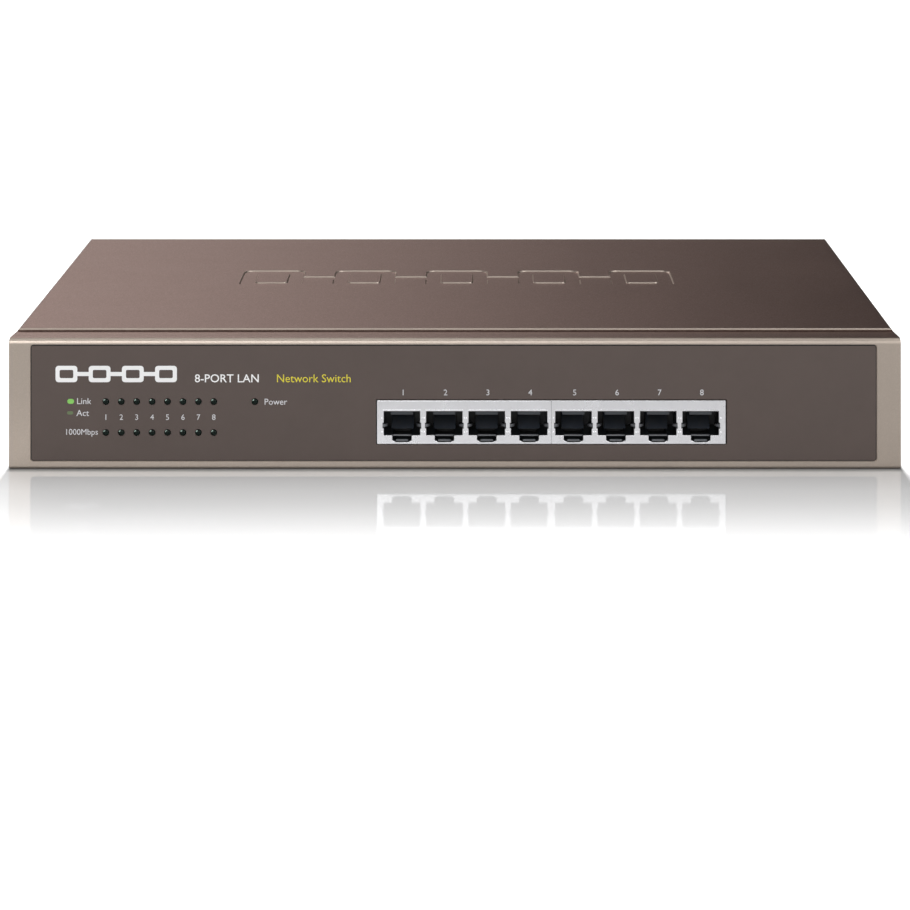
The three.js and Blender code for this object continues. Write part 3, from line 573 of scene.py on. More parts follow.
def motif(axis, centre, length, width, deep, count, stroke, low, high, corner, grow=0.0, slope=0.0):
    """Framed rectangles joined by bars, as one solid between two heights. It widens by slope on the way up."""
    cx, cy = centre
    xs = row(count, (length - width) / (count - 1), cx)

    def outline(x, inset):
        return rounded(around(x, width - 2 * inset), around(cy, deep - 2 * inset), corner - 0.4 * inset, 4)

    def bar(a, b, extra):
        return rounded((a + width / 2 - 1, b - width / 2 + 1), around(cy, stroke + 2 * extra), 0)

    outer, bars, inner = bmesh.new(), bmesh.new(), bmesh.new()
    for x in xs:
        prism(outer, outline(x, -grow), axis, low, high, outline(x, -grow - slope))
        prism(inner, outline(x, stroke + grow), axis, low, high, outline(x, stroke + grow + slope))
    for a, b in zip(xs, xs[1:]):
        prism(bars, bar(a, b, grow), axis, low, high, bar(a, b, grow + slope))
    inner = solid(inner)
    for vert in inner.data.vertices:
        along = "xyz".index(axis)
        vert.co[along] += 0.01 if vert.co[along] > (low + high) / 2 else -0.01
    return carve(fuse(solid(outer), bars), inner)


def top_cover():
    x1, y0, y1 = COVER_HIGH[0], COVER_LOW[1], COVER_HIGH[1]
    z0, z1 = COVER_LOW[2], COVER_HIGH[2]
    bend, inner = 1.5, 0.7

    def arch(half, top, radius, bottom):
        points = [(-half, bottom), (half, bottom)]
        for cx, start in ((half - radius, 0), (-half + radius, 90)):
            for i in range(7):
                a = math.radians(start + 90 * i / 6)
                points.append((cx + radius * math.cos(a), top - radius + radius * math.sin(a)))
        return points

    shell = solid(prism(bmesh.new(), arch(x1, z1, bend, z0), "y", y0, y1 - 0.15))
    hollow = prism(bmesh.new(), arch(x1 - SHEET, z1 - SHEET, inner, z0 - 1), "y", y0 - 1, y1 + 1)
    carve(shell, hollow)
    # The rear edge of the top is folded down into the lip.
    fold = [(y1 - 3, z1 - SHEET)]
    for i in range(7):
        a = math.radians(90 - 90 * i / 6)
        fold.append((y1 - bend + inner * math.cos(a), z1 - bend + inner * math.sin(a)))
    fold += [(y1 - SHEET, 35), (y1, 35)]
    for i in range(7):
        a = math.radians(90 * i / 6)
        fold.append((y1 - bend + bend * math.cos(a), z1 - bend + bend * math.sin(a)))
    fold.append((y1 - 3, z1))
    carve(shell, block(bmesh.new(), (-x1 + SHEET + 0.3, x1 - SHEET - 0.3), (y1 - 3, y1 + 1), (z1 - SHEET - 1, z1 + 1)))
    fuse(shell, prism(bmesh.new(), fold, "x", -x1 + SHEET + 0.3, x1 - SHEET - 0.3))
    vents = bmesh.new()
    for i in range(16):
        y = -22 + 6 * i
        prism(vents, rounded(around(y, 3), (14, 32), 1.45), "x", -x1 - 1, x1 + 1)
    holes = bmesh.new()
    for y, z in HOLES:
        prism(holes, disc(y, z, 1.8), "x", -x1 - 1, x1 + 1)
    slots = bmesh.new()
    for y in SCREW_Y:
        notch = [(y - 1.8, -1), (y + 1.8, -1)] + [(y + 1.8 * math.cos(math.radians(a)), SCREW_Z + 1.8 * math.sin(math.radians(a))) for a in range(0, 181, 15)]
        prism(slots, notch, "x", -x1 - 1, x1 + 1)
    lip = [(-1.8, 34), (1.8, 34)] + [(1.8 * math.cos(math.radians(a)), 39 + 1.8 * math.sin(math.radians(a))) for a in range(0, 181, 15)]
    lip_slot = prism(bmesh.new(), lip, "y", y1 - 2, y1 + 1)
    carve(shell, vents, holes, slots, lip_slot)
    pressed = ("z", (0, 9), 157, 22, 27.5, 5, 5)
    fuse(shell, motif(*pressed, z1 - SHEET - 0.4, z1 - SHEET + 0.1, 3.5, 0.3))
    carve(shell, motif(*pressed, z1 - 0.42, z1 + 0.02, 3.5, 0.0, 0.42))
    front = prism(bmesh.new(), [(y0 - 1, z1 - 1.45), (y0 - 1, z1 + 1), (y0 + 1.45, z1 + 1)], "x", -x1 - 1, x1 + 1)
    carve(shell, front)
    return piece(shell, "cover_shell", "cover", "cover", ["top_cover"], 0.1, angle=24)


top_cover()


def film_outline(inset):
    return rounded(
        (FILM_LOW[0] + inset, FILM_HIGH[0] - inset - 0.8),
        (FILM_LOW[2] + inset, FILM_HIGH[2] - inset),
        0.8 - inset,
    )


def front_bezel():
    x1, top = BEZEL_HIGH[0], BEZEL_HIGH[2]
    back = FRONT + 11
    taper = x1 - COVER_HIGH[0]
    plan = [(-x1, FRONT), (x1, FRONT), (x1 - taper, back), (taper - x1, back)]
    bm = prism(bmesh.new(), plan, "z", 0, top)

    def bevel(keep, offset, segments):
        edges = [e for e in bm.edges if keep([v.co for v in e.verts])]
        bmesh.ops.bevel(bm, geom=edges, offset=offset, segments=segments, profile=0.5, affect="EDGES", clamp_overlap=True)

    bevel(lambda p: all(abs(c.y - FRONT) < 0.01 and abs(c.z - top) < 0.01 for c in p), 2.0, 8)
    on_end = lambda p: all(abs(c.x) > x1 - taper - 0.01 for c in p)
    not_back = lambda p: not all(abs(c.y - back) < 0.01 for c in p)
    bevel(lambda p: all(abs(c.y - FRONT) < 0.01 and abs(c.z) < 0.01 for c in p), 0.9, 5)
    bevel(lambda p: on_end(p) and not_back(p) and not all(abs(c.z) < 0.01 for c in p), 0.5, 3)
    shell = solid(bm)
    cavity = block(bmesh.new(), (-x1 + 1.6, x1 - 1.6), (FRONT + 1.6, back + 1), (-1, top - 1.6))
    ledge = block(bmesh.new(), (TRAY_LOW[0], TRAY_HIGH[0]), (back - 1.4, BEZEL_HIGH[1]), (top - 1.6, top))
    recess = prism(bmesh.new(), film_outline(-0.25), "y", FRONT - 1, FRONT + 0.45)
    windows = bmesh.new()
    prism(windows, rounded((-26, 89.6), (7.95, 22.9), 0.3), "y", FRONT - 1, FRONT + 3)
    for z in (22.2, 12):
        prism(windows, rounded((-117, -77.4), around(z, 3.1), 0.5), "y", FRONT - 1, FRONT + 3)
    prism(windows, rounded(around(-65.9, 3.1), around(22.2, 3.1), 0.5), "y", FRONT - 1, FRONT + 3)
    carve(shell, cavity)
    fuse(shell, ledge)
    carve(shell, recess, windows)
    clips = bmesh.new()
    root = FRONT + 1.5
    for x in (-134, 134):
        for z in (8, 34):
            hook = [(root, z), (root + 4.3, z), (root + 1.8, z + 1.9), (root + 1.7, z + 1.2), (root, z + 1.2)]
            prism(clips, hook, "x", x - 4, x + 4)
    fuse(shell, clips)
    return piece(shell, "bezel_shell", "case", "bezel", ["front_bezel"], bevel=0.16, segments=3, angle=45)


front_bezel()


LIGHT_X = [-115 + 5.08 * i for i in range(8)]
LIGHTS = [(x, z) for z in (22.2, 12) for x in LIGHT_X] + [(-65.9, 22.2)]
FILM_FACE = FILM_LOW[1]


def plate(outlines, y0, y1, bevel=0.05):
    """A plate in the panel's plane, its first outline the outside and the rest holes, between two depths."""
    curve = bpy.data.curves.new("plate", "CURVE")
    curve.dimensions = "2D"
    curve.fill_mode = "BOTH"
    curve.extrude = abs(y1 - y0) / 2 - bevel
    curve.bevel_depth = bevel
    curve.bevel_resolution = 1
    curve.offset = -bevel
    for outline in outlines:
        spline = curve.splines.new("POLY")
        spline.points.add(len(outline) - 1)
        for point, (u, v) in zip(spline.points, outline):
            point.co = (u, v, 0, 1)
        spline.use_cyclic_u = True
    made = bpy.data.objects.new("plate", curve)
    scene.collection.objects.link(made)
    mesh = bpy.data.meshes.new_from_object(made)
    bpy.data.objects.remove(made)
    mesh.transform(Matrix.Translation((0, (y0 + y1) / 2, 0)) @ Matrix.Rotation(math.radians(90), 4, "X"))
    flat = bpy.data.objects.new("plate", mesh)
    scene.collection.objects.link(flat)
    return flat


def front_film():
    window = rounded((-26, 89.6), (7.95, 22.9), 0.25)
    holes = [disc(x, z, 1.12, 24) for x, z in LIGHTS]
    film = plate([film_outline(0.2), window, *holes], FILM_LOW[1], FILM_HIGH[1], 0.04)
    piece(film, "front_film", "case", "overlay", ["front_overlay"], bevel=0)
    # The film's adhesive, drawn black so that its edge in the groove round the film is painted shade.
    glue_and_groove_shade = plate([film_outline(-0.1), rounded((-26.2, 89.8), (7.75, 23.1), 0.3), *holes], FILM_HIGH[1] + 0.02, FRONT + 0.44)
    piece(glue_and_groove_shade, "film_adhesive_groove_shade", "case", "black", bevel=0)


front_film()


# ---------------------------------------------------------------- printing on the film


def words(text, size, x, z, align="LEFT", stretch=1.0, bold=0.0):
    """Generic lettering as a thin mesh standing just proud of the film. Size is the height of a capital."""
    curve = bpy.data.curves.new("words", "FONT")
    curve.body = text
    curve.align_x = align
    curve.size = size / 0.73
    curve.extrude = 0.012
    curve.offset = bold
    curve.resolution_u = 3
    made = bpy.data.objects.new("words", curve)
    scene.collection.objects.link(made)
    mesh = bpy.data.meshes.new_from_object(made)
    bpy.data.objects.remove(made)
    mesh.transform(Matrix.Translation((x, FILM_FACE - 0.006, z)) @ Matrix.Rotation(math.radians(90), 4, "X") @ Matrix.Diagonal((stretch, 1, 1, 1)))
    flat = bpy.data.objects.new("words", mesh)
    scene.collection.objects.link(flat)
    return flat


def mark(outline):
    return solid(prism(bmesh.new(), outline, "y", FILM_FACE - 0.02, FILM_FACE + 0.01))


def joined(parts):
    bm = bmesh.new()
    for part in parts:
        bm.from_mesh(part.data)
        bpy.data.objects.remove(part)
    return solid(bm)


def printing():
    white = [motif("y", (-111.6, 31.3), 40, 7.2, 5.4, 4, 1.35, FILM_FACE - 0.02, FILM_FACE + 0.01, 1.0)]
    white.append(words("8-PORT LAN", 2.75, -85.8, 28.6, stretch=1.02, bold=0.02))
    grey = [words("Link", 2.1, -124.7, 21.4), words("Act", 2.1, -124.7, 17.5), words("1000Mbps", 2.0, -128.6, 11.3, stretch=0.97)]
    grey.append(words("Power", 2.1, -62.9, 21.2))
    grey += [words(str(i + 1), 1.9, x, 16.2, "CENTER") for i, x in enumerate(LIGHT_X)]
    grey += [words(str(i + 1), 2.0, x + 0.4, 24.3, "CENTER") for i, x in enumerate(PORT_X)]
    piece(joined(white), "print_white", "case", "white_ink", bevel=0)
    piece(joined(grey), "print_legends", "case", "grey_ink", bevel=0)
    piece(words("Network Switch", 2.75, -58.9, 28.6, stretch=0.985), "print_yellow", "case", "yellow_ink", bevel=0)
    piece(mark(rounded(around(-126.6, 2.2), around(22.3, 1.6), 0.75)), "print_green_dot", "case", "green_ink", bevel=0)
    piece(mark(rounded(around(-126.8, 2.0), around(18.5, 1.1), 0.52)), "print_olive_dot", "case", "olive_ink", bevel=0)


SHIELD_SPANS = [span("jack_shield_left"), span("jack_shield_right")]
BLOCK_X = (3.5, 60.03)
PORT_X = [x + 13.97 * (i - 1.5) for x in BLOCK_X for i in range(4)]
printing()


def light_tips():
    """A small dome on the end of each light pipe."""
    bm = bmesh.new()
    for x, z in LIGHTS:
        dome = [(0.0, -0.6), (0.98, -0.6), (0.98, -0.08)] + [(0.98 * math.cos(math.radians(a)), -0.08 + 0.55 * math.sin(math.radians(a))) for a in range(15, 90, 15)] + [(0.0, 0.47)]
        lathe(bm, dome, (x, FRONT, z), "-y", 20)
    piece(bm, "light_tips", "case", "light_tip", bevel=0)


light_tips()


# ---------------------------------------------------------------- jacks

JACK_BASE = SHIELD_SPANS[0][0][2]
PORT_HALF, PORT_FLOOR, PORT_ROOF = 6, 2.8, 10.8
FINGER_Z = 6.0  # height of the earthing fingers above a jack's underside
PIVOT_Y, PIVOT_Z = FRONT + 4, JACK_BASE + 12  # the contact springs' bar


def mirrored(half):
    """A whole outline from its right half."""
    return half + [(-u, v) for u, v in reversed(half)]


def mouth(x):
    """A jack's opening: a slot for each earthing finger at its sides, and the latch's stepped notch below."""
    notch = [(2, 0.6), (3.2, 1.2), (3.2, PORT_FLOOR), (PORT_HALF, PORT_FLOOR)]
    slot = [(PORT_HALF, FINGER_Z - 1), (PORT_HALF + 0.35, FINGER_Z - 0.9)]
    slot += [(PORT_HALF + 0.35, FINGER_Z + 0.9), (PORT_HALF, FINGER_Z + 1)]
    return [(x + u, JACK_BASE + v) for u, v in mirrored(notch + slot + [(PORT_HALF, PORT_ROOF)])]


def strip(points, thick):
    """The outline of a bent strip whose middle line runs through the points."""
    sides = []
    for i, (u, v) in enumerate(points):
        before, after = points[max(i - 1, 0)], points[min(i + 1, len(points) - 1)]
        along = Vector((after[0] - before[0], after[1] - before[1])).normalized() * (thick / 2)
        sides.append(((u - along.y, v + along.x), (u + along.y, v - along.x)))
    return [a for a, _ in sides] + [b for _, b in reversed(sides)]


def ridge(bm, x0, x1, z, radius):
    """A low rolled ridge across the face of a jack."""
    arc = [(FRONT + 0.16 - 0.8 * radius * math.cos(a), z + radius * math.sin(a)) for a in (math.pi * (k / 6 - 0.5) for k in range(7))]
    return prism(bm, arc, "x", x0, x1)


def jack_shield(index):
    side = ("left", "right")[index]
    node = f"jack_shield_{side}"
    low, high = SHIELD_SPANS[index]
    ports = PORT_X[4 * index : 4 * index + 4]
    face = plate([rounded((low[0], high[0]), (low[2], high[2]), 0.25), *map(mouth, ports)], low[1], low[1] + 0.5, 0.09)
    middle = BLOCK_X[index]
    sleeve = solid(block(bmesh.new(), around(middle, 56.5), (low[1] + 0.45, high[1]), (low[2], high[2])))
    inside = block(bmesh.new(), around(middle, 55.9), (low[1] - 1, high[1] - 0.3), (low[2] - 1, high[2] - 0.3))
    carve(sleeve, inside)
    tabs = bmesh.new()
    for x in ports:
        # A spring tab on top, the beads pressed beside each port and a lip along its roof.
        prism(tabs, strip([(low[1] + 3, high[2] - 0.2), (low[1] + 6, high[2] + 0.1), (low[1] + 9, high[2] - 0.1)], 0.25), "x", x - 1.5, x + 1.5)
        for way in (-1, 1):
            for z in (FINGER_Z - 2.2, FINGER_Z + 2.4):
                bead = [(0, 0.14), (0.2, 0.1), (0.36, 0), (0.36, -0.1), (0, -0.1)]
                lathe(tabs, bead, (x + way * 6.62, low[1] + 0.04, JACK_BASE + z), "-y", 12)
        ridge(tabs, x - PORT_HALF - 0.3, x + PORT_HALF + 0.3, JACK_BASE + PORT_ROOF + 0.32, 0.26)
        for edge in (x - 4.9, x + 4.9):
            ridge(tabs, edge - 2.08, edge + 2.08, JACK_BASE + 0.3, 0.22)
    ridge(tabs, low[0] + 0.1, high[0] - 0.1, high[2] - 0.28, 0.26)
    piece(joined([face, sleeve, solid(tabs)]), f"shield_{side}", "case", "tin", [node], bevel=0.04, angle=35)


def jack_insides():
    """What shows in the ports: earthing fingers, the comb that guides the contacts, the plug stop and latch bars."""
    fingers, combs, stops, bars = (bmesh.new() for _ in range(4))
    for x in PORT_X:
        for way in (-1, 1):
            bend = [(6.3, 0.4), (5.9, 0.55), (5.0, 1.15), (4.75, 1.8), (5.1, 3.0), (5.7, 4.2)]
            outline = strip([(x + way * u, FRONT + v) for u, v in bend], 0.18)
            prism(fingers, outline, "z", JACK_BASE + FINGER_Z - 0.45, JACK_BASE + FINGER_Z + 0.45)
        stop = [(8.6, 2.95), (14.3, 2.95), (14.3, 7.4), (13.9, 7.4)]
        prism(stops, [(FRONT + u, JACK_BASE + v) for u, v in stop], "x", x - 3.7, x + 3.7)
        block(combs, around(x, 7.4), (FRONT + 1.2, FRONT + 2.5), (JACK_BASE + 9.35, JACK_BASE + 10.75))
        for k in range(9):
            block(combs, around(x + (k - 4) * 1.02, 0.3), (FRONT + 2.4, FRONT + 3.3), (JACK_BASE + 9.9, JACK_BASE + 10.6))
        block(bars, around(x, 6.1), (FRONT + 1.3, FRONT + 2.2), (JACK_BASE + 2.3, JACK_BASE + 2.75))
        block(bars, around(x, 4.1), (FRONT + 0.7, FRONT + 1.6), (JACK_BASE + 0.75, JACK_BASE + 1.3))
    piece(fingers, "earthing_fingers", "case", "finger", bevel=0.04)
    piece(combs, "contact_combs", "case", "comb_grey", bevel=0.15)
    piece(stops, "plug_stops", "case", "stop_grey", bevel=0.12)
    piece(bars, "latch_bars", "case", "latch_grey", bevel=0.12)


def contact_springs(number, x):
    """Eight sprung wires on the bar that they flex about."""
    bm = lathe(bmesh.new(), [(0, -5.5), (0.4, -5.5), (0.5, -5.4), (0.5, 5.4), (0.4, 5.5), (0, 5.5)], (x, PIVOT_Y, PIVOT_Z), "x", 16)
    for k in row(8, 1.02):
        path = [(0, 0), (1.6, -0.35), (5.5, -2.1), (8.8, -3.75), (9.35, -3.7)]
        sweep(bm, [(x + k, PIVOT_Y + u, PIVOT_Z + v) for u, v in path], 0.2, 8, 4)
    node = f"contact_springs_{number}"
    piece(bm, f"contact_wires_{number}", f"springs_{number}", "gold", [node], bevel=0)


for index in range(2):
    jack_shield(index)
jack_insides()
for number, x in enumerate(PORT_X, 1):
    contact_springs(number, x)


# ---------------------------------------------------------------- tray


def chassis_tray():
    """Floor and side flanges from one bent sheet, with the walls, bracket tabs and pressed standoffs."""
    x1, y0, y1, top = TRAY_HIGH[0], TRAY_LOW[1], TRAY_HIGH[1], TRAY_HIGH[2]
    bend = [(1.1 * math.cos(math.radians(a)), 1.1 * math.sin(math.radians(a))) for a in range(-90, 1, 15)]
    outer = [(x1 - 1.1 + u, 1.1 + v) for u, v in bend] + [(x1, 12)]
    inner = [(x1 - SHEET, 12)] + [(x1 - 1.1 + 0.3 * u / 1.1, 1.1 + 0.3 * v / 1.1) for u, v in bend[::-1]]
    trough = mirrored(outer + inner)
    left = trough[len(outer) + len(inner) :]
    bottom = left[len(inner) :] + outer
    ceiling = inner + left[: len(inner)]
    shell = solid(prism(bmesh.new(), bottom + ceiling, "y", y0, y1))
    across = (-x1, x1)
    walls = [((y0, y0 + SHEET), BEZEL_HIGH[2] - 1.9), ((y1 - SHEET, y1), top)]
    for ys, height in walls:
        fuse(shell, prism(bmesh.new(), rounded(across, (0.0, height), 0.8), "y", *ys))
    for way in (-1, 1):
        tab = rounded((-78, -38), (2, 37), 2.5)
        fuse(shell, prism(bmesh.new(), tab, "x", *sorted((way * (x1 - SHEET), way * x1))))
    posts, bores = bmesh.new(), bmesh.new()
    for node in BOARD_SCREWS:
        (a, b, _), (c, d, _) = span(node)
        x, y = (a + c) / 2, (b + d) / 2
        lathe(posts, [(0, 0.4), (3.9, 0.4), (3.9, 0.8), (3.35, 1.4), (3.2, 2.2), (3.2, 6.45), (0, 6.45)], (x, y, 0), "z", 28)
        prism(bores, disc(x, y, 1.8), "z", -1, 9)
    fuse(shell, posts)
    openings = bmesh.new()
    block(openings, (-26.4, 90), (y0 - 1, y0 + 2), (7.5, 23.3))
    for z in (22.2, 12):
        block(openings, (-117.1, -77.3), (y0 - 1, y0 + 2), around(z, 4.2))
    block(openings, around(-65.9, 4.2), (y0 - 1, y0 + 2), around(22.2, 4.2))
    for x in (-134, 134):
        for z in (8, 34):
            block(openings, around(x, 8.6), (y0 - 1, y0 + 2), (z - 0.3, z + 2.4))
    block(openings, around(-95, 28), (y1 - 2, y1 + 1), around(22, 20.4))
    for x, z, r in ((-115, 22, 1.8), (-75, 22, 1.8), (-48, 16, 2.3), (0, 39, 1.8)):
        prism(openings, disc(x, z, r), "y", y1 - 2, y1 + 1)
    for y, z in [(y, SCREW_Z) for y in SCREW_Y] + HOLES:
        prism(openings, disc(y, z, 1.8), "x", -x1 - 1, x1 + 1)
    carve(shell, bores, openings)
    piece(shell, "tray_shell", "case", "tray", ["chassis_tray"], bevel=0.1, angle=35)


# ---------------------------------------------------------------- screws

BOARD_SCREWS = [f"board_screw_{i}" for i in range(1, 5)] + [f"supply_screw_{i}" for i in range(1, 4)]
TURNS = {
    "up": Matrix.Identity(4),
    "left": Matrix.Rotation(math.radians(-90), 4, "Y"),
    "right": Matrix.Rotation(math.radians(90), 4, "Y"),
    "back": Matrix.Rotation(math.radians(-90), 4, "X"),
}


def screw_mesh(thread, head, height, length, pitch=0.5):
    """A screw along +z with a cross recess. Its head's underside is at 0, or its top if height is 0."""
    start = 0.0 if height else -1.7
    profile = [(0, -length), (thread * 0.72, -length)]
    turns = int((length + start - 0.3) / pitch)
    for k in range(turns):
        z = -length + 0.2 + k * pitch
        profile += [(thread * 0.8, z), (thread, z + pitch * 0.45), (thread, z + pitch * 0.55)]
    profile.append((thread * 0.8, start - 0.1))
    if height:
        profile += [(thread * 0.8, 0), (head - 0.1, 0), (head, 0.12), (head, height * 0.42)]
        profile += [(head * math.cos(a), height * (0.42 + 0.58 * math.sin(a))) for a in (0.35, 0.7, 1.05, 1.35)]
        profile.append((0, height))
    else:
        profile += [(thread * 0.8, start), (head, -0.25), (head, -0.05), (head - 0.06, 0), (0, 0)]
    made = solid(lathe(bmesh.new(), profile, (0, 0, 0), "z", 28))
    reach, wide = head * 0.56, head * 0.11
    depth = (height - head * 0.42, height + 0.1)
    for u, v in ((reach, wide), (wide, reach)):
        foot = rounded((-u * 0.45, u * 0.45), (-v * 0.45, v * 0.45), 0)
        carve(made, prism(bmesh.new(), foot, "z", *depth, rounded((-u, u), (-v, v), 0)))
    return made


def screws():
    kinds = {
        "pan": screw_mesh(1.42, 2.8, 1.9, 6),
        "large": screw_mesh(2, 3.9, 2.8, 8, 0.7),
        "flat": screw_mesh(1.5, 2.8, 0, 6),
    }
    heights = {"pan": 1.9, "large": 2.8, "flat": 0}
    places = [(node, "case", "up", "pan") for node in BOARD_SCREWS]
    for side in ("left", "right"):
        places.append((f"inlet_screw_{side}", "case", "back", "flat"))
        for end in ("front", "rear"):
            places.append((f"cover_screw_{side}_{end}", f"screw_{side}_{end}", side, "pan"))
    places += [("cover_screw_back", "screw_back", "back", "pan"), ("earth_screw", "earth_bolt", "back", "large")]
    for node, body, way, kind in places:
        low, high = span(node)
        at = (Vector(low) + Vector(high)) / 2
        outward = TURNS[way].to_3x3() @ Vector((0, 0, 1))
        axis = [abs(round(v)) for v in outward].index(1)
        tip = high[axis] if outward[axis] > 0 else low[axis]
        at[axis] = tip - outward[axis] * heights[kind]
        made = solid(bmesh.new())
        made.data = kinds[kind].data.copy()
        twist = Matrix.Rotation(random.uniform(0, math.pi / 2), 4, "Z")
        made.data.transform(Matrix.Translation(at) @ TURNS[way] @ twist)
        piece(made, f"{node}_fine", body, "steel", [node], bevel=0, angle=28)
    for made in kinds.values():
        bpy.data.objects.remove(made)


def earth_washer():
    """A toothed washer under the earth screw."""
    low, high = span("earth_washer")
    x, z = (low[0] + high[0]) / 2, (low[2] + high[2]) / 2
    outline, teeth = [], 18
    for k in range(teeth * 4):
        r = 4.6 if k % 4 < 2 else 4.0
        a = 2 * math.pi * k / (teeth * 4)
        outline.append((x + r * math.cos(a), z + r * math.sin(a)))
    made = solid(prism(bmesh.new(), outline, "y", low[1], high[1]))
    carve(made, prism(bmesh.new(), disc(x, z, 2.3), "y", low[1] - 1, high[1] + 1))
    piece(made, "toothed_washer", "earth_clamp", "steel", ["earth_washer"], bevel=0.15)


# ---------------------------------------------------------------- main board

BOARD_TOP = span("main_board")[1][2]
SEAT = BOARD_TOP + 0.05


def middle(node):
    low, high = span(node)
    return (low[0] + high[0]) / 2, (low[1] + high[1]) / 2, low[2]


def gull_leads(bm, x, y, way, across, reach, foot, width, rise=1.0):
    """Bent leads in a row along x or y, that step down from a chip's side onto the board."""
    profile = [(reach, rise), (reach + 0.35, rise - 0.05), (foot - 0.75, 0.14), (foot, 0.14)]
    outline = strip(profile, 0.18)
    for k in across:
        if way in ("+y", "-y"):
            sign = 1 if way == "+y" else -1
            prism(bm, [(y + sign * u, SEAT + v) for u, v in outline], "x", x + k - width / 2, x + k + width / 2)
        else:
            sign = 1 if way == "+x" else -1
            prism(bm, [(x + sign * u, SEAT + v) for u, v in outline], "y", y + k - width / 2, y + k + width / 2)
    return bm


def chip_body(x, y, width, deep, low, high, chamfer, dimple):
    made = block(bmesh.new(), around(x, width), around(y, deep), (low, high))
    bmesh.ops.bevel(made, geom=made.edges[:], offset=chamfer, segments=2, profile=0.6, affect="EDGES")
    made = solid(made)
    corner = (x - width / 2 + dimple * 2.2, y + deep / 2 - dimple * 2.2, high)
    return carve(made, lathe(bmesh.new(), [(0, -0.15), (dimple * 0.8, -0.15), (dimple, 0.2), (0, 0.2)], corner, "z", 20))


def switch_chip():
    x, y, _ = middle("switch_chip")
    piece(chip_body(x, y, 17.4, 17.4, SEAT + 0.12, SEAT + 1.4, 0.2, 0.6), "switch_chip_body", "case", "chip", ["switch_chip"], bevel=0)
    leads = bmesh.new()
    for way in ("+x", "-x", "+y", "-y"):
        gull_leads(leads, x, y, way, row(26, 0.62), 8.6, 10, 0.26, 0.75)
    piece(leads, "switch_chip_leads", "case", "tin", bevel=0)


def heat_sink():
    """A comb of fins, sawn across in the middle so that the air can also cross it."""
    low, high = span("chip_heat_sink")
    x, y, z = middle("chip_heat_sink")
    outline = [(low[0], z), (high[0], z), (high[0], z + 2.2)]
    for fin in reversed(row(8, 3.8)):
        outline += [(x + fin + 0.7, z + 2.4), (x + fin + 0.45, high[2]), (x + fin - 0.45, high[2]), (x + fin - 0.7, z + 2.4)]
    outline.append((low[0], z + 2.2))
    made = solid(prism(bmesh.new(), outline, "y", low[1], high[1]))
    for cut in (-7, 0, 7):
        carve(made, block(bmesh.new(), (low[0] - 1, high[0] + 1), around(y + cut, 1.4), (z + 3.4, high[2] + 1)))
    piece(made, "finned_heat_sink", "case", "aluminium", ["chip_heat_sink"], bevel=0.08)


def line_transformers():
    leads = bmesh.new()
    for i in range(1, 5):
        x, y, _ = middle(f"line_transformer_{i}")
        body = chip_body(x, y, 21, 12.2, SEAT + 0.3, SEAT + 6, 0.35, 0.9)
        piece(body, f"line_module_{i}", "case", "chip", [f"line_transformer_{i}"], bevel=0)
        for way in ("+y", "-y"):
            gull_leads(leads, x, y, way, row(12, 1.6), 6.05, 8, 0.5, 1.6)
    piece(leads, "line_module_leads", "case", "tin", bevel=0)


def stadium(x, y, length, width, steps=10):
    r = width / 2
    points = []
    for centre, start in ((x + length / 2 - r, -90), (x - length / 2 + r, 90)):
        for k in range(steps + 1):
            a = math.radians(start + 180 * k / steps)
            points.append((centre + r * math.cos(a), y + r * math.sin(a)))
    return points


def crystal():
    x, y, z = middle("clock_crystal")
    can = prism(bmesh.new(), stadium(x, y, 10.2, 3.8), "z", z + 0.4, z + 3.6)
    prism(can, stadium(x, y, 11, 4.6), "z", z, z + 0.5)
    piece(can, "crystal_can", "case", "steel", ["clock_crystal"], bevel=0.35, segments=4, angle=50)


def capacitor(node, radius, height):
    """An electrolytic capacitor: a sleeve shrunk over its bead and rim, a scored top and a stripe."""
    x, y, z = middle(node)
    r = radius
    sleeve = [(0, 0.1), (r * 0.9, 0.1), (r * 0.97, 0.3), (r, 0.7), (r, 1.7), (r * 0.95, 2.15), (r * 0.95, 2.45), (r, 2.9)]
    sleeve += [(r, height - 0.9), (r - 0.12, height - 0.4), (r - 0.45, height), (r - 0.95, height), (r - 1.05, height - 0.25), (0, height - 0.25)]
    piece(lathe(bmesh.new(), sleeve, (x, y, z), "z", 40), f"{node}_sleeve", "case", "sleeve", [node], bevel=0, angle=50)
    top = solid(lathe(bmesh.new(), [(0, -0.4), (r - 1.1, -0.4), (r - 1.1, -0.12), (r - 1.35, -0.05), (0, -0.05)], (x, y, z + height), "z", 40))
    for angle in (0, 60, 120):
        a = math.radians(angle)
        score = strip([(x - 0.6 * r * math.cos(a), y - 0.6 * r * math.sin(a)), (x + 0.6 * r * math.cos(a), y + 0.6 * r * math.sin(a))], 0.18)
        carve(top, prism(bmesh.new(), score, "z", z + height - 0.15, z + height + 1))
    piece(top, f"{node}_top", "case", "aluminium", bevel=0)
    arc = [math.radians(200 + 4 * k) for k in range(13)]
    stripe = [(x + (r + 0.03) * math.cos(a), y + (r + 0.03) * math.sin(a)) for a in arc]
    stripe += [(x + (r - 0.1) * math.cos(a), y + (r - 0.1) * math.sin(a)) for a in reversed(arc)]
    piece(prism(bmesh.new(), stripe, "z", z + 3.1, z + height - 1.1), f"{node}_stripe", "case", "sleeve_stripe", bevel=0)


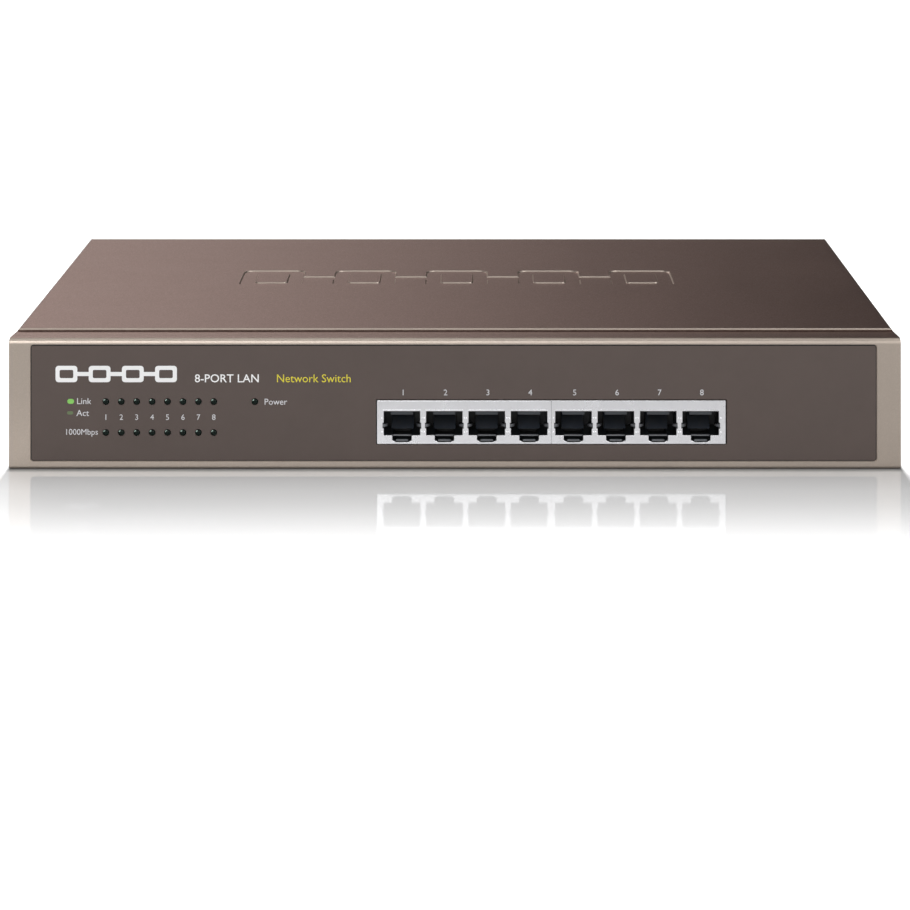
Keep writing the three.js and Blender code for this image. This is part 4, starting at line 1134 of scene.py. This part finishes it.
def small_parts():
    """Chip resistors and capacitors in rows, with their solder pads, traces and outlines on the board."""
    dark, tan, ends, traces, outlines = (bmesh.new() for _ in range(5))

    def part(x, y, long_x, bm, length=2.0, wide=1.2, tall=0.55):
        size = (length, wide) if long_x else (wide, length)
        block(bm, around(x, size[0] * (0.6 if long_x else 1)), around(y, size[1] * (1 if long_x else 0.6)), (SEAT, SEAT + tall))
        for way in (-1, 1):
            cx, cy = (x + way * length * 0.4, y) if long_x else (x, y + way * length * 0.4)
            cap = (length * 0.2, wide) if long_x else (wide, length * 0.2)
            block(ends, around(cx, cap[0]), around(cy, cap[1]), (SEAT - 0.04, SEAT + tall + 0.02))
            block(ends, around(cx, cap[0] + 0.5), around(cy, cap[1] + 0.3), (SEAT - 0.06, SEAT - 0.01))

    def run(points, wide=0.3):
        prism(traces, strip(points, wide), "z", BOARD_TOP - 0.05, BOARD_TOP + 0.025)

    def frame(xs, ys, wide=0.22):
        for u in xs:
            block(outlines, around(u, wide), (ys[0] - wide / 2, ys[1] + wide / 2), (BOARD_TOP - 0.05, BOARD_TOP + 0.02))
        for v in ys:
            block(outlines, (xs[0], xs[1]), around(v, wide), (BOARD_TOP - 0.05, BOARD_TOP + 0.02))

    cx, cy, _ = middle("switch_chip")
    pins = iter(row(32, 0.55))
    for i in range(1, 5):
        tx, ty, _ = middle(f"line_transformer_{i}")
        frame((tx - 10.9, tx + 10.9), (ty - 8.6, ty + 8.6))
        for k, offset in enumerate(row(8, 2.4)):
            x, goal = tx + offset, cx + next(pins)
            depth = abs(goal - x) / 75 * 3.2
            turn = cy - 10.6 - 0.4 - depth
            lean = 0.5 if goal > x else -0.5
            run([(x, ty + 8.0), (x, turn - 0.5), (x + lean, turn), (goal - lean, turn), (goal, turn + 0.5), (goal, cy - 9.8)], 0.16)
        for k, offset in enumerate(row(4, 5.0)):
            if abs(tx + offset - cx) > 21:
                part(tx + offset, -45.2, True, dark)
                part(tx + offset, -42.6, True, tan)
                run([(tx + offset, -42), (tx + offset, -36 - 1.5 * k), (tx + offset + 3, -33 - 1.5 * k)])
    for k in range(7):
        part(48.5, -47 + 3.4 * k, False, tan if k % 3 else dark)
        part(11.5, -47 + 3.4 * k, False, dark if k % 2 else tan)
        run([(41, -46 + 3 * k), (46, -46 + 3 * k), (48, -47.4 + 3.4 * k)], 0.22)
    for k in range(9):
        part(-112 + 4.6 * k, -70, False, tan)
        part(-112 + 4.6 * k, -62, False, dark)
        run([(-112 + 4.6 * k, -69), (-112 + 4.6 * k, -63)])
        run([(-112 + 4.6 * k, -61), (-112 + 4.6 * k, -52 + k), (-106 + 4.6 * k, -46 + k)])
    for k in range(5):
        part(-62 + 5 * k, -34, True, dark, 3.2, 1.8, 0.7)
        part(58 + 6 * k, -30, True, tan, 3.2, 1.8, 0.7)
        part(58 + 6 * k, -38, True, dark)
    frame((-70, -54), (-30, -20))
    frame((cx - 15, cx + 15), (cy - 15, cy + 15))
    frame((-4.5, 8.5), (-39, -33))
    for bm, name, material, slot, bevel in (
        (dark, "chip_resistors", "chip", "component_black", 0.08),
        (tan, "chip_capacitors", "tan", "board_tan", 0.08),
        (ends, "solder_ends", "tin", "tinned_steel", 0),
        (traces, "board_traces", "trace", "board_green", 0),
        (outlines, "board_outlines", "white_ink", "overlay_print", 0),
    ):
        piece(bm, name, "case", material, bevel=bevel)


chassis_tray()
screws()
earth_washer()
switch_chip()
heat_sink()
line_transformers()
crystal()
for node, radius, height in (("board_capacitor", 4, 11.5), ("bulk_capacitor", 9, 30), ("output_capacitor", 5, 20)):
    capacitor(node, radius, height)
small_parts()


# ---------------------------------------------------------------- power supply


def power_transformer():
    """A laminated ferrite core round a taped winding, on a bobbin with pins."""
    x, y, z = middle("power_transformer")
    core = solid(prism(bmesh.new(), rounded(around(x, 26), (z + 1.6, z + 23.8), 0.6), "y", y - 5.5, y + 5.5))
    carve(core, prism(bmesh.new(), rounded(around(x, 18.4), (z + 6, z + 18.4), 0.4), "y", y - 9, y + 9))
    carve(core, block(bmesh.new(), around(x, 30), around(y, 20), (z + 12.1, z + 12.25)))
    piece(core, "transformer_core", "case", "ferrite", ["power_transformer"], bevel=0.3)
    winding = bmesh.new()
    for low, high, grow in ((5, 9.6, 0), (9.6, 14, 0.12), (14, 18.2, 0)):
        prism(winding, rounded(around(x, 17 + grow), around(y, 20.4 + grow), 4.5, 8), "z", z + low, z + high)
    piece(winding, "transformer_winding", "case", "tape", bevel=0.35, segments=3)
    bobbin = bmesh.new()
    for low, high in ((0.6, 2.2), (4, 5.2), (18.1, 19)):
        prism(bobbin, rounded(around(x, 23.6), around(y, 21.6), 1.2), "z", z + low, z + high)
    block(bobbin, around(x, 16), around(y, 19), (z + 1.8, z + 4.4))
    for k in row(5, 4.2):
        for way in (-1, 1):
            lathe(bobbin, [(0, 0), (0.45, 0), (0.45, 0.9), (0, 0.9)], (x + k, y + way * 9.8, z), "z", 10)
    piece(bobbin, "transformer_bobbin", "case", "chip", bevel=0.2)


def line_choke():
    """Two coils of enamelled wire on an upright ring."""
    x, y, z = middle("line_choke")
    ring = [(3.6, -2.6), (4.0, -3), (7.6, -3), (8, -2.6), (8, 2.6), (7.6, 3), (4.0, 3), (3.6, 2.6), (3.6, -2.6)]
    piece(lathe(bmesh.new(), ring, (x, y, z + 9), "y", 48), "choke_ring", "case", "ferrite", ["line_choke"], bevel=0)
    coils = bmesh.new()
    for side in (0, 180):
        for k in row(12, 9.0):
            a = math.radians(side + k)
            u, v = math.cos(a), math.sin(a)
            loop = []
            for r, h in ((3.2, 2.4), (3.7, 3.35), (7.9, 3.35), (8.45, 2.4), (8.45, -2.4), (7.9, -3.35), (3.7, -3.35), (3.2, -2.4), (3.2, 2.4)):
                loop.append((x + r * u, y + h, z + 9 + r * v))
            sweep(coils, loop, 0.36, 8, 3)
    piece(coils, "choke_coils", "case", "copper", bevel=0)
    base = prism(bmesh.new(), rounded(around(x, 19), around(y, 11), 1.5), "z", z, z + 1.6)
    block(base, around(x, 1.2), around(y, 9), (z + 1, z + 6))
    piece(base, "choke_base", "case", "nylon", bevel=0.25)


def mains_fuse():
    """A glass fuse between two spring clips."""
    x, y, z = middle("mains_fuse")
    tube = [(2.15, -9), (2.4, -9), (2.4, 9), (2.15, 9), (2.15, -9)]
    piece(lathe(bmesh.new(), tube, (x, y, z + 5), "y", 32), "fuse_tube", "case", "glass", ["mains_fuse"], bevel=0)
    metal = bmesh.new()
    for way in (-1, 1):
        cap = [(0, 4.8), (2.45, 4.8), (2.6, 5.0), (2.6, 9.7), (2.35, 10), (0, 10)]
        lathe(metal, cap, (x, y, z + 5), "y" if way > 0 else "-y", 32)
        clip = [(-3.1, 7.3), (-2.55, 6), (-3.0, 4.6), (-1.9, 2.2), (-1.7, 0.1), (1.7, 0.1), (1.9, 2.2), (3.0, 4.6), (2.55, 6), (3.1, 7.3)]
        prism(metal, strip([(x + u, z + v) for u, v in clip], 0.35), "y", *sorted((y + way * 6.4, y + way * 9.2)))
    sweep(metal, [(x, y - 6, z + 5), (x, y - 1, z + 4.8), (x, y + 1, z + 4.9), (x, y + 6, z + 5)], 0.12, 6, 4)
    piece(metal, "fuse_metal", "case", "steel", bevel=0.05)


def supply_heat_sink():
    """A grooved plate with a foot, and the switching transistor screwed to it."""
    low, high = span("supply_heat_sink")
    x = low[0]
    grooves = [(x + 2.4, low[1]), (x + 2.4, high[1])]
    y = high[1]
    while y > low[1] + 2:
        grooves += [(x, y), (x, y - 1.6), (x + 0.9, y - 1.8), (x + 0.9, y - 2.8)]
        y -= 3
    grooves.append((x, low[1]))
    made = solid(prism(bmesh.new(), grooves, "z", low[2], high[2]))
    fuse(made, block(bmesh.new(), (x + 1.2, x + 8.2), (low[1], high[1]), (low[2], low[2] + 2)))
    piece(made, "grooved_heat_sink", "case", "aluminium", ["supply_heat_sink"], bevel=0.15)
    middle_y = (low[1] + high[1]) / 2 + 4
    body = block(bmesh.new(), (x + 3.0, x + 6.8), around(middle_y, 10), (low[2] + 6, low[2] + 15.4))
    piece(body, "transistor_body", "case", "chip", bevel=0.5, segments=2)
    metal = solid(block(bmesh.new(), (x + 2.45, x + 3.7), around(middle_y, 10), (low[2] + 7, low[2] + 21)))
    carve(metal, block(bmesh.new(), (x, x + 9), (middle_y + 4.2, middle_y + 6), (low[2] + 15.6, low[2] + 17)))
    carve(metal, block(bmesh.new(), (x, x + 9), (middle_y - 6, middle_y - 4.2), (low[2] + 15.6, low[2] + 17)))
    legs = bmesh.new()
    for k in row(3, 2.54):
        block(legs, (x + 4.6, x + 5.1), around(middle_y + k, 0.8), (low[2] + 2.1, low[2] + 6.3))
    lathe(legs, [(0, 0), (2.6, 0), (2.6, 0.5), (2.0, 1.3), (0, 1.5)], (x + 3.7, middle_y, low[2] + 18), "x", 24)
    piece(joined([metal, solid(legs)]), "transistor_metal", "case", "tin", bevel=0.1)


def wires():
    """Insulated wires from the inlet's blades, the earth wire's ring and the supply's cable."""
    tab_y = span("inlet_live_pin")[0][1] - 1.2
    ring_low, ring_high = span("earth_screw")
    ex, ez = (ring_low[0] + ring_high[0]) / 2, (ring_low[2] + ring_high[2]) / 2
    wall = TRAY_HIGH[1] - SHEET - 0.3
    radius = 1.1
    starts = {}
    boots, necks = bmesh.new(), bmesh.new()
    for node in ("live", "neutral", "earth"):
        low, high = span(f"inlet_{node}_pin")
        x, z = (low[0] + high[0]) / 2, (low[2] + high[2]) / 2
        starts[node] = (x, tab_y, z)
        half = rounded(around(x, 3.0), around(z, 6.4), 1.1)
        neck = rounded(around(x, 2.6), around(z, 3.4), 1.1)
        prism(necks, neck, "y", tab_y - 3.4, tab_y - 0.9, half)
        prism(boots, half, "y", tab_y - 0.9, tab_y + 6.2)
    boots = fuse(solid(boots), necks)
    piece(boots, "receptacle_boots", "case", "nylon", bevel=0.2)
    for node, colour, (lx, ly) in (("live", "brown", (-116, 52)), ("neutral", "blue", (-96, 54))):
        sx, sy, sz = starts[node]
        path = [(sx, sy - 2, sz), (sx, sy - 6, sz - 1), ((sx + lx) / 2, ly + 2, SEAT + 7), (lx, ly, SEAT + 3), (lx, ly, SEAT)]
        bm = sweep(bmesh.new(), path, radius, 16, 8)
        lathe(bm, [(0, 0), (2.0, 0), (1.7, 0.5), (1.2, 1.1), (0, 1.2)], (lx, ly, SEAT), "z", 20)
        piece(bm, f"{node}_wire_fine", "case", colour, [f"{node}_wire"], bevel=0)
    sx, sy, sz = starts["earth"]
    path = [(sx, sy - 2, sz), (sx + 2, sy - 5, sz + 4), (sx + 20, sy - 2, sz + 11), (ex - 8, wall - 6, ez + 16)]
    path += [(ex, wall - 1.6, ez + 12), (ex, wall - 1.2, ez + 7)]
    piece(sweep(bmesh.new(), path, radius, 16, 8), "earth_wire_fine", "case", "green", ["earth_wire"], bevel=0)
    ring = solid(prism(bmesh.new(), disc(ex, ez, 4.2, 36), "y", wall - 0.8, wall))
    fuse(ring, block(bmesh.new(), around(ex, 3.4), (wall - 0.8, wall), (ez + 3, ez + 9)))
    carve(ring, prism(bmesh.new(), disc(ex, ez, 2.3), "y", wall - 2, wall + 1))
    barrel = lathe(bmesh.new(), [(0, 4.4), (1.5, 4.4), (1.6, 4.7), (1.6, 8.8), (1.4, 9), (0, 9)], (ex, wall - 1.3, ez), "z", 20)
    piece(joined([ring, solid(barrel)]), "earth_ring", "case", "tin", bevel=0.08)
    hx, hy, _ = middle("dc_header")
    land = (hx + 10, -2.2)
    for k, dx in enumerate(row(4, 2)):
        path = [(hx + dx, hy, SEAT + 8), (hx + dx + 1, hy + 3, SEAT + 13), (hx + dx + 6, hy + 14, SEAT + 12)]
        path += [(land[0] + dx, land[1], SEAT + 6), (land[0] + dx, land[1], SEAT + 2)]
        colour = ("red", "red", "chip", "chip")[k]
        core = sweep(bmesh.new(), path, 0.9, 14, 7)
        piece(core, f"dc_core_{k + 1}", "case", colour, ["dc_cable"] if k == 0 else (), bevel=0)
    plugs = block(bmesh.new(), around(hx, 10.2), around(hy, 3.8), (SEAT + 1.6, SEAT + 8.6))
    block(plugs, around(land[0], 8), (-4, -0.5), (SEAT, SEAT + 3))
    for dx in row(4, 2):
        block(plugs, around(hx + dx, 1.2), (hy - 2.2, hy - 1.7), (SEAT + 7, SEAT + 8.2))
    piece(plugs, "dc_plugs", "case", "nylon", bevel=0.2)


def dc_header():
    x, y, z = middle("dc_header")
    made = solid(block(bmesh.new(), around(x, 12.4), around(y, 6), (z, z + 7)))
    carve(made, block(bmesh.new(), around(x, 10.8), around(y, 4.4), (z + 1.4, z + 9)))
    carve(made, block(bmesh.new(), around(x, 4), (y - 4, y - 1), (z + 3, z + 9)))
    piece(made, "dc_header_shroud", "case", "nylon", ["dc_header"], bevel=0.2)


def supply_parts():
    """Small parts of the supply board, with their leads and printed outlines."""
    low, high = span("supply_board")
    solder, discs, outlines = (bmesh.new() for _ in range(3))
    for x, y, length in ((-112, 16, 9), (-70, -2, 7), (-60, 4, 7), (-45, 30, 8), (-45, 44, 8), (-104, 20, 8)):
        band = [(0, -length / 2), (0.9, -length / 2 + 0.2), (1.05, -length / 2 + 0.8), (0.85, -1), (0.85, 1), (1.05, length / 2 - 0.8), (0.9, length / 2 - 0.2), (0, length / 2)]
        lathe(discs, band, (x, y, SEAT + 1.2), "x", 18)
        for way in (-1, 1):
            end = x + way * (length / 2 + 1.6)
            sweep(solder, [(x + way * length / 2, y, SEAT + 1.2), (end - way * 0.4, y, SEAT + 1.2), (end, y, SEAT + 0.7), (end, y, SEAT)], 0.28, 8, 4)
            lathe(solder, [(0, 0), (0.9, 0), (0.5, 0.35), (0.35, 0.7), (0, 0.75)], (end, y, SEAT - 0.03), "z", 14)
    bridge = [(-127, 8), (-113, 8)]
    block(discs, (-126, -112), around(4, 4.4), (SEAT + 1, SEAT + 10.5))
    for x in row(4, 3.6, -119):
        sweep(solder, [(x, 4, SEAT + 1.5), (x, 4, SEAT)], 0.45, 8, 2)
    for xs, ys in (((-127.5, -118.5), (24, 48)), ((-114.5, -93.5), (29, 43)), ((-102, -74), (-2.5, 22.5)), ((-68.5, -58), (16.5, 55.5))):
        for u in xs:
            block(outlines, around(u, 0.3), ys, (SEAT - 0.1, SEAT - 0.02))
        for v in ys:
            block(outlines, xs, around(v, 0.3), (SEAT - 0.1, SEAT - 0.02))
    piece(discs, "supply_small_parts", "case", "tan", bevel=0.25, angle=60)
    piece(solder, "supply_leads", "case", "tin", bevel=0)
    piece(outlines, "supply_outlines", "case", "white_ink", bevel=0)


def mains_inlet():
    """The inlet: a flange with tapered ends, a raised collar and a socket with lead-in edges."""
    low, high = span("mains_inlet")
    x, z = (low[0] + high[0]) / 2, (low[2] + high[2]) / 2
    wall = TRAY_HIGH[1]

    def chamfered(width, tall, chamfer, soft=0.8):
        w, h = width / 2, tall / 2
        bottom = rounded((x - w, x + w), (z - h, z + h), soft)
        side = len(bottom) // 4
        return bottom[:side] + [(x + w, z + h - chamfer), (x + w - chamfer, z + h), (x - w + chamfer, z + h), (x - w, z + h - chamfer)] + bottom[3 * side :]

    w, h = 24, 11.3
    ear = 5.0
    flange = []
    for cx, cz, start, r in ((w - ear, -h + 7.2, -60, ear), (w - ear, h - 7.2, 0, ear), (-w + ear, h - 7.2, 120, ear), (-w + ear, -h + 7.2, 180, ear)):
        for k in range(6):
            a = math.radians(start + 60 * k / 5)
            flange.append((x + cx + r * math.cos(a), z + cz + r * math.sin(a)))
    made = solid(prism(bmesh.new(), flange, "y", wall + 0.05, wall + 2.4))
    fuse(made, prism(bmesh.new(), rounded((x - 14.4, x + 14.4), (z - h, z + h), 1.6), "y", wall + 0.05, wall + 2.4))
    fuse(made, prism(bmesh.new(), chamfered(27.4, 19.8, 5), "y", low[1], wall + 3))
    socket = solid(prism(bmesh.new(), chamfered(24.4, 16.6, 4.4), "y", wall - 13.5, wall + 4))
    lead_in = prism(bmesh.new(), chamfered(24.4, 16.6, 4.4), "y", wall + 2.2, wall + 3.05, chamfered(25.8, 18, 4.8))
    boolean(made, socket, "DIFFERENCE")
    carve(made, lead_in)
    holes = bmesh.new()
    for way in (-1, 1):
        prism(holes, disc(x + way * 20, z, 1.8), "y", wall - 2, wall + 5)
        lathe(holes, [(0, 0.6), (1.8, 0.6), (3.1, 2.3), (3.1, 4), (0, 4)], (x + way * 20, wall, z), "y", 32)
    for node in ("live", "neutral", "earth"):
        a, b = span(f"inlet_{node}_pin")
        block(holes, (a[0] - 0.04, b[0] + 0.04), (low[1] - 1, wall - 10), (a[2] - 0.4, b[2] + 0.4))
    carve(made, holes)
    piece(made, "inlet_body", "case", "inlet", ["mains_inlet"], bevel=0.22, segments=3, angle=40)
    for node in ("live", "neutral", "earth"):
        a, b = span(f"inlet_{node}_pin")
        cx, cz, tip = (a[0] + b[0]) / 2, (a[2] + b[2]) / 2, b[1]
        body = rounded(around(cx, 2), around(cz, 4), 0.25)
        pin = solid(prism(bmesh.new(), body, "y", wall - 14, tip - 1.6))
        fuse(
            pin,
            prism(bmesh.new(), body, "y", tip - 1.6, tip, rounded(around(cx, 1.0), around(cz, 2.8), 0.25)),
            block(bmesh.new(), around(cx, 0.8), (a[1], wall - 13), around(cz, 4.8)),
        )
        piece(pin, f"{node}_blade", "case", "steel", [f"inlet_{node}_pin"], bevel=0.08)


def light_pipes():
    """Clear rods that bend down from the panel to the lamps on the board, on moulded webs."""
    for node, lights in (("light_pipe_bank", LIGHTS[:-1]), ("power_light_pipe", LIGHTS[-1:])):
        low, high = span(node)
        bm = bmesh.new()
        for x, z in lights:
            back = -77.5 if z > 15 else -82
            path = [(x, FRONT + 0.55, z), (x, FRONT + 4, z), (x, back - 3, z), (x, back - 1, z - 0.3)]
            path += [(x, back, z - 2.2), (x, back, BOARD_TOP + 1.2)]
            sweep(bm, path, 0.96, 16, 4)
        xs = (lights[0][0] - 2, lights[-1][0] + 2)
        if node == "power_light_pipe":
            xs = (low[0], high[0])
        prism(bm, rounded(xs, (BOARD_TOP + 0.05, high[2]), 0.8), "y", -86.6, -85.4)
        piece(bm, f"{node}_fine", "case", "light", [node], bevel=0.12, angle=50)


power_transformer()
line_choke()
mains_fuse()
supply_heat_sink()
wires()
dc_header()
supply_parts()
mains_inlet()
light_pipes()


# ---------------------------------------------------------------- CAD nodes that stay

for name, material, bevel in (
    ("jack_housing_left", "black", 0.08),
    ("jack_housing_right", "black", 0.08),
    ("main_board", "board", 0.1),
    ("supply_board", "supply_board", 0.1),
    ("insulating_sheet", "film", 0.0),
):
    dress(name, material, bevel)


# ---------------------------------------------------------------- stage, light and camera

STAGE = (9.0, 9.0)  # the floor's half width and half depth in metres
FADE = 0.088  # how far in front of the case its mirror image reaches, and the floor has faded to white


def floor_material():
    """White acrylic: it mirrors the case close in front of it. Near the case its colour is darkened as painted shadow,
    and further away a glow that only the camera sees paints it white.
    """
    s = Shader("floor")
    axes = s.add("ShaderNodeSeparateXYZ")
    s.link(s.place, axes.inputs[0])
    low, high = CAD_BOX
    past = []
    for axis in range(2):
        centre, half = (low[axis] + high[axis]) / 2, (high[axis] - low[axis]) / 2
        from_centre = s.maths("ABSOLUTE", s.maths("SUBTRACT", axes.outputs[axis], centre), 0)
        past.append(s.maths("MAXIMUM", s.maths("SUBTRACT", from_centre, half), 0.0))
        if axis == 0:
            from_side = s.maths("SUBTRACT", from_centre, BEZEL_HIGH[0] * MM)
    distance = s.maths("SQRT", s.maths("ADD", *(s.maths("MULTIPLY", p, p) for p in past)), 0)
    # Beside the case the painted white starts at once; in front of it and behind it the painted shadow fades out
    # sideways.
    fan = s.maths("ADD", s.maths("MULTIPLY", past[1], 0.25), 0.001)
    beside = s.ramp(s.maths("DIVIDE", from_side, fan), 0.0, 1.0, 0.0, 1.0)
    cloud = s.noise(900, 2)
    colour = s.mix(cloud, (0.80, 0.80, 0.80), (0.82, 0.82, 0.82))
    # Painted shadow: the floor's colour darkens towards black close to the case.
    shade = s.maths("ADD", s.ramp(distance, 0.18, 0.0, 0.0, 0.3 * FADE), s.ramp(distance, 0.5, 0.0, 0.0, 0.004))
    colour = s.mix(shade, colour, (0.0, 0.0, 0.0))
    roughness = s.ramp(s.noise(40, 3), 0.05, 0.08)
    mirror = s.ramp(distance, 0.6, 0.0, 0.0, FADE)
    # A glow that only the camera sees paints the floor white, rising with the distance from the case, so the floor is
    # painted darker near it.
    seen = s.add("ShaderNodeLightPath").outputs["Is Camera Ray"]
    rise = s.maths("POWER", s.ramp(distance, 0.0, 1.0, 0.0, FADE), 1.6)
    glow = s.maths("MULTIPLY", seen, s.maths("MAXIMUM", s.maths("MULTIPLY", rise, 0.5), beside))
    return s.finish(
        colour, roughness, Specular_IOR_Level=mirror, Emission_Color=(1, 1, 1), Emission_Strength=glow
    )


floor = block(bmesh.new(), around(0, 2000 * STAGE[0]), around(0, 2000 * STAGE[1]), (-20, -0.02))
floor = solid(floor, "floor")
floor.data.transform(Matrix.Diagonal((MM, MM, MM, 1)))
floor.data.materials.append(floor_material())

# The studio's soft lights: azimuth in degrees from straight behind the case towards its right, height, strength.
GLOWS = (
    (-15, 32, 3.3),
    (-160, 38, 4.2),
    (135, 38, 3.8),
    (90, 62, 2.6),
    (135, 15, 2.0),
    (-160, 15, 1.4),
    (180, 15, 1.1),
    (-90, 81, 1.65),
)
GLOW_SPREAD = 22
AMBIENT = 0.04


def studio():
    """A dark studio with soft lights around and above. The camera itself sees a white backdrop."""
    world = bpy.data.worlds.new("studio")
    scene.world = world
    world.use_nodes = True
    tree = world.node_tree
    direction = tree.nodes.new("ShaderNodeTexCoord").outputs["Generated"]
    total = None
    for azimuth, height, strength in GLOWS:
        a, h = math.radians(azimuth), math.radians(height)
        towards = tree.nodes.new("ShaderNodeVectorMath")
        towards.operation = "DOT_PRODUCT"
        towards.inputs[1].default_value = (math.sin(a) * math.cos(h), math.cos(a) * math.cos(h), math.sin(h))
        tree.links.new(direction, towards.inputs[0])
        lobe = tree.nodes.new("ShaderNodeMapRange")
        lobe.interpolation_type = "SMOOTHSTEP"
        lobe.inputs["From Min"].default_value = math.cos(math.radians(GLOW_SPREAD))
        lobe.inputs["To Max"].default_value = strength
        tree.links.new(towards.outputs["Value"], lobe.inputs["Value"])
        total_so_far = tree.nodes.new("ShaderNodeMath")
        total_so_far.operation = "ADD"
        tree.links.new(lobe.outputs["Result"], total_so_far.inputs[0])
        if total is None:
            total_so_far.inputs[1].default_value = AMBIENT
        else:
            tree.links.new(total, total_so_far.inputs[1])
        total = total_so_far.outputs[0]
    chosen = tree.nodes.new("ShaderNodeMix")
    path = tree.nodes.new("ShaderNodeLightPath")
    tree.links.new(path.outputs["Is Camera Ray"], chosen.inputs[0])
    tree.links.new(total, chosen.inputs[2])
    chosen.inputs[3].default_value = 1.0
    background = tree.nodes["Background"]
    background.inputs["Color"].default_value = (1, 1, 1, 1)
    tree.links.new(chosen.outputs[0], background.inputs["Strength"])


studio()
scene.view_settings.view_transform = "Standard"

CAMERA_AT = Vector((0.0063, -0.967, 0.2316))
data = bpy.data.cameras.new("camera")
data.sensor_width = 36
data.lens = 105.3
data.clip_start, data.clip_end = 0.01, 50
camera = bpy.data.objects.new("camera", data)
camera.location = CAMERA_AT
camera.rotation_euler = (math.radians(90), 0, 0)
scene.collection.objects.link(camera)
scene.camera = camera

# The lens is shifted only while the camera stands at its own place: from anywhere else it looks straight ahead.
spot = bpy.data.objects.new("camera_spot", None)
spot.location = CAMERA_AT
scene.collection.objects.link(spot)
for path, amount in (("shift_x", -0.0209), ("shift_y", -0.757)):
    curve = data.driver_add(path)
    curve.driver.type = "AVERAGE"
    distance = curve.driver.variables.new()
    distance.type = "LOC_DIFF"
    distance.targets[0].id = camera
    distance.targets[1].id = spot
    for modifier in list(curve.modifiers):
        curve.modifiers.remove(modifier)
    curve.keyframe_points.insert(0.0, amount).interpolation = "LINEAR"
    curve.keyframe_points.insert(0.02, 0.0).interpolation = "LINEAR"
